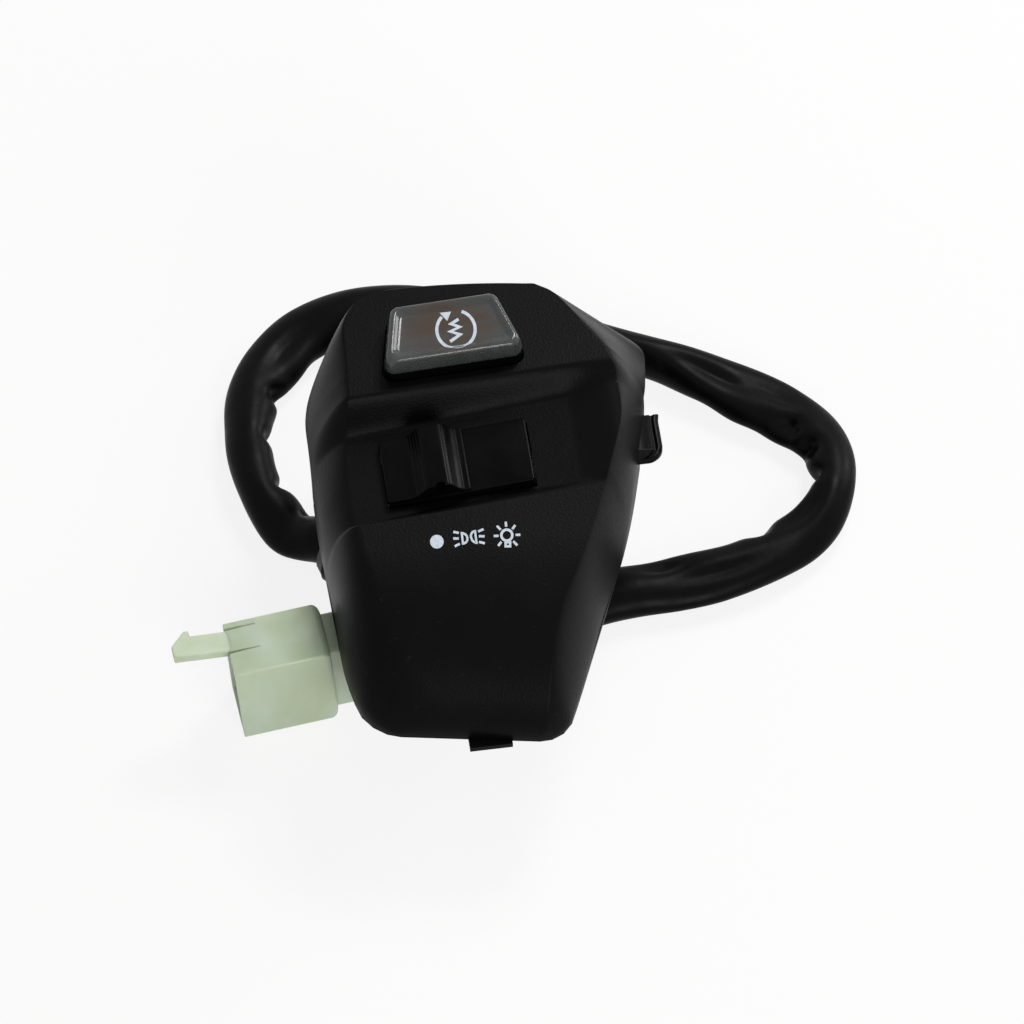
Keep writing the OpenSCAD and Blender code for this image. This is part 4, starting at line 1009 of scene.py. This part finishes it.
def half_lamp(top, foot, tip):
    """Outline of a lamp seen from the side: a straight back and a half ellipse through its tip."""
    a, b, c = np.array(top), np.array(foot), np.array(tip)
    mid = (a + b) / 2
    t = np.linspace(0, np.pi, 20)[:, None]
    return mid + (a - b) / 2 * np.cos(t) + (c - mid) * np.sin(t)


def lamp_marks():
    """Off dot, parking lamps and headlamp bulb, as printed strokes."""
    parts = [prism(circle(OFF_R, 40) + OFF_AT, -0.02, INK_T, on_face)]
    parts += [stroke(half_lamp(*d), LAMP_PEN, on_face, closed=True) for d in LAMP_D]
    parts += [stroke(np.linspace(a, b, 4), RAY_PEN, on_face) for a, b in RAYS]
    parts += [stroke(circle(BULB_R, 36) + BULB_AT, BULB_PEN, on_face, closed=True),
              stroke(rectangle(*BULB_CAP), RAY_PEN, on_face, closed=True)]
    return join(parts)


piece("lamp_marks_print", *lamp_marks(), INK, slot="shell_abs", sharp=40)


# Plug in its own frame: length along the leads, width and height, as in the part's source
PLUG_AT, PLUG_TURN, PLUG_TILT = (-53.15, -48.3), math.radians(4.2), math.radians(4.3)
PLUG_L, PLUG_W, PLUG_H, PLUG_WALL, PLUG_DEEP, COLLAR_L = 19.5, 12.9, 22.5, 1.3, 13.0, 3.5
LATCH_Y, LATCH_W, LATCH_T = 0.66 * PLUG_W, 4.7, 2.2
WAY_Y, WAY_Z = (0.24, 0.5, 0.76), (0.34, 0.68)
WAYS = [(PLUG_W * y, PLUG_H * z) for y in WAY_Y for z in WAY_Z]
# Plug's skin from the hollow's floor to the mouth, then from the lip to its back: inset, corner radius and
# place along the plug; the hollow stays below the latch
PLUG_HOLLOW = [(0, 0.5, PLUG_DEEP), (0, 0.5, 0.3), (-0.25, 0.5, 0)]
PLUG_OUTER = [(0.2, 0.5, 0), (0.05, 0.5, 0.08), (0, 0.5, 0.25), (0, 0.5, PLUG_L - 1.5),
              (0.12, 0.7, PLUG_L - 0.95), (0.45, 1.0, PLUG_L - 0.42), (0.9, 1.3, PLUG_L - 0.14),
              (1.5, 1.6, PLUG_L)]
PLUG_ROOF = 3.2
# Collar round the leads behind the plug: insets of its sides and height, and its steps to a bevelled end
COLLAR_Y, COLLAR_Z = 1.4, 1.8
COLLAR_EDGE = [(0, 0.7, PLUG_L - 0.6), (0, 0.7, PLUG_L + COLLAR_L - 0.25), (0.2, 0.7, PLUG_L + COLLAR_L)]
WAY_CUT = (PLUG_L + 0.2, PLUG_L + 9)
# Leads: radius, their ways' radius, spacing in the sleeve's end, and that end's set-in and lean
LEAD_R, LEAD_WAY_R, LEAD_STEP_Y, LEAD_STEP_Z = 0.8, 1.1, 2.4, 2.6
LEAD_SET, LEAD_LEAN_Y, LEAD_LEAN_Z = 0.25, 0.2165, 0.093
# Slit beside the latch, narrower to its end, seen from above
SLIT_HALF, SLIT_CUT = 0.42, (PLUG_H - 4.2, PLUG_H + 3)
SLIT = np.array([(-1, -SLIT_HALF), (6.3, -0.08), (6.3, 0.08), (-1, SLIT_HALF)])


def on_plug(p):
    """From the plug's own frame to space: a tilt about Y, a turn about Z and a move to its corner."""
    x, z = turned(p[:, 0], p[:, 2], PLUG_TILT)
    x, y = turned(x, p[:, 1], PLUG_TURN)
    return np.stack([x, y, z], axis=1) + [*PLUG_AT, FLOOR_Z]


def along_plug(p):
    """Outline across the plug and level along it."""
    return on_plug(p[:, [2, 0, 1]])


def plug_skin():
    """Plug box as one skin: up the hollow, over the mouth's lip, along the outside and round the back."""
    hollow = nested((PLUG_WALL, PLUG_W - PLUG_WALL), (PLUG_WALL, PLUG_H - PLUG_ROOF), PLUG_HOLLOW)
    outer = nested((0, PLUG_W), (0, PLUG_H), PLUG_OUTER)
    return stacked(hollow + outer, levels_of(PLUG_HOLLOW + PLUG_OUTER), along_plug)


def collar_skin():
    """Collar: a round-cornered box, drawn in over a small bevel at its end."""
    outlines = nested((COLLAR_Y, PLUG_W - COLLAR_Y), (COLLAR_Z, PLUG_H - COLLAR_Z), COLLAR_EDGE)
    return stacked(outlines, levels_of(COLLAR_EDGE), along_plug)


def lead_path(y, z):
    """A lead's run from its way in the plug to its place in the sleeve's end."""
    i, k = WAY_Y.index(y) - 1, WAY_Z.index(z) - 0.5
    dy, dz = LEAD_STEP_Y * i, LEAD_STEP_Z * k
    a, b = on_plug(np.array([[x, PLUG_W * y, PLUG_H * z] for x in (PLUG_L, PLUG_L + COLLAR_L + 0.5)]))
    end = np.add(SLEEVE_ROUTE[-1], ON_FLOOR) + [LEAD_SET - LEAD_LEAN_Y * dy + LEAD_LEAN_Z * dz, dy, dz]
    return smooth_path([a, b, (b + end) / 2, end - [1.5, 0.3, 0], end], 0.5)[0]


plug = piece("plug_box", *plug_skin(), NYLON, nodes=["connector_body"], slot="nylon")
slit_y = [LATCH_Y + side * (LATCH_W / 2 + SLIT_HALF) for side in (-1, 1)]
carve(plug, [prism(SLIT + [0, y], *SLIT_CUT, on_plug) for y in slit_y])

collar = piece("plug_collar", *collar_skin(), NYLON, slot="nylon")
carve(collar, [prism(circle(LEAD_WAY_R, 24) + way, *WAY_CUT, along_plug) for way in WAYS])

# Latch arm seen from above, with the barb at its tip
LATCH = np.array([(0.6, -2.35), (0.6, 2.35), (-7.0, 2.35), (-7.0, 3.65), (-8.0, 3.65), (-11.0, 0.3),
                  (-11.0, -2.35)])
LATCH_LIFT = 0.17


def sprung(p):
    """Latch arm in the plug's frame, lifted in proportion to its reach past the mouth, as a flexed one is."""
    lift = LATCH_LIFT * np.maximum(-p[:, 0], 0)
    return on_plug(p + lift[:, None] * [0, 0, 1])


latch_solid = prism(LATCH[::-1] + [0, LATCH_Y], PLUG_H - LATCH_T, PLUG_H - 0.02, sprung)
latch = piece("plug_latch_arm", *latch_solid, NYLON, slot="nylon")
edge = latch.modifiers.new("moulded_edges", "BEVEL")
edge.width = 0.25 * MM
edge.segments = 2
edge.limit_method = "ANGLE"

lead_tubes = [tube(lead_path(y, z), LEAD_R, 14) for y in WAY_Y for z in WAY_Z]
leads = piece("lead_tails", *join(lead_tubes), GREY_LEAD, nodes=["lead_wires"], slot="wire_grey", sharp=60)


# Finishes of the CAD nodes that show as they are
CAD_FINISH = [(ABS, ["rear_shell"]), (RUBBER, ["cable_gland"]), (FOIL, ["start_legend_plate"]),
              (GLOSS, ["start_plunger"]), (RED_LEAD, ["start_wires"]), (BLUE_LEAD, ["light_wires"]),
              (CREAM, ["start_guide", "light_base", "light_carriage"]),
              (STEEL, ["housing_screws", "detent_ball", "detent_spring", "module_screws"]),
              (BRASS, ["start_contact_bridge", "start_terminals", "light_contact", "light_terminals",
                       "connector_terminals"])]
for finish, names in CAD_FINISH:
    for name in names:
        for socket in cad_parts[name].material_slots:
            socket.material = finish
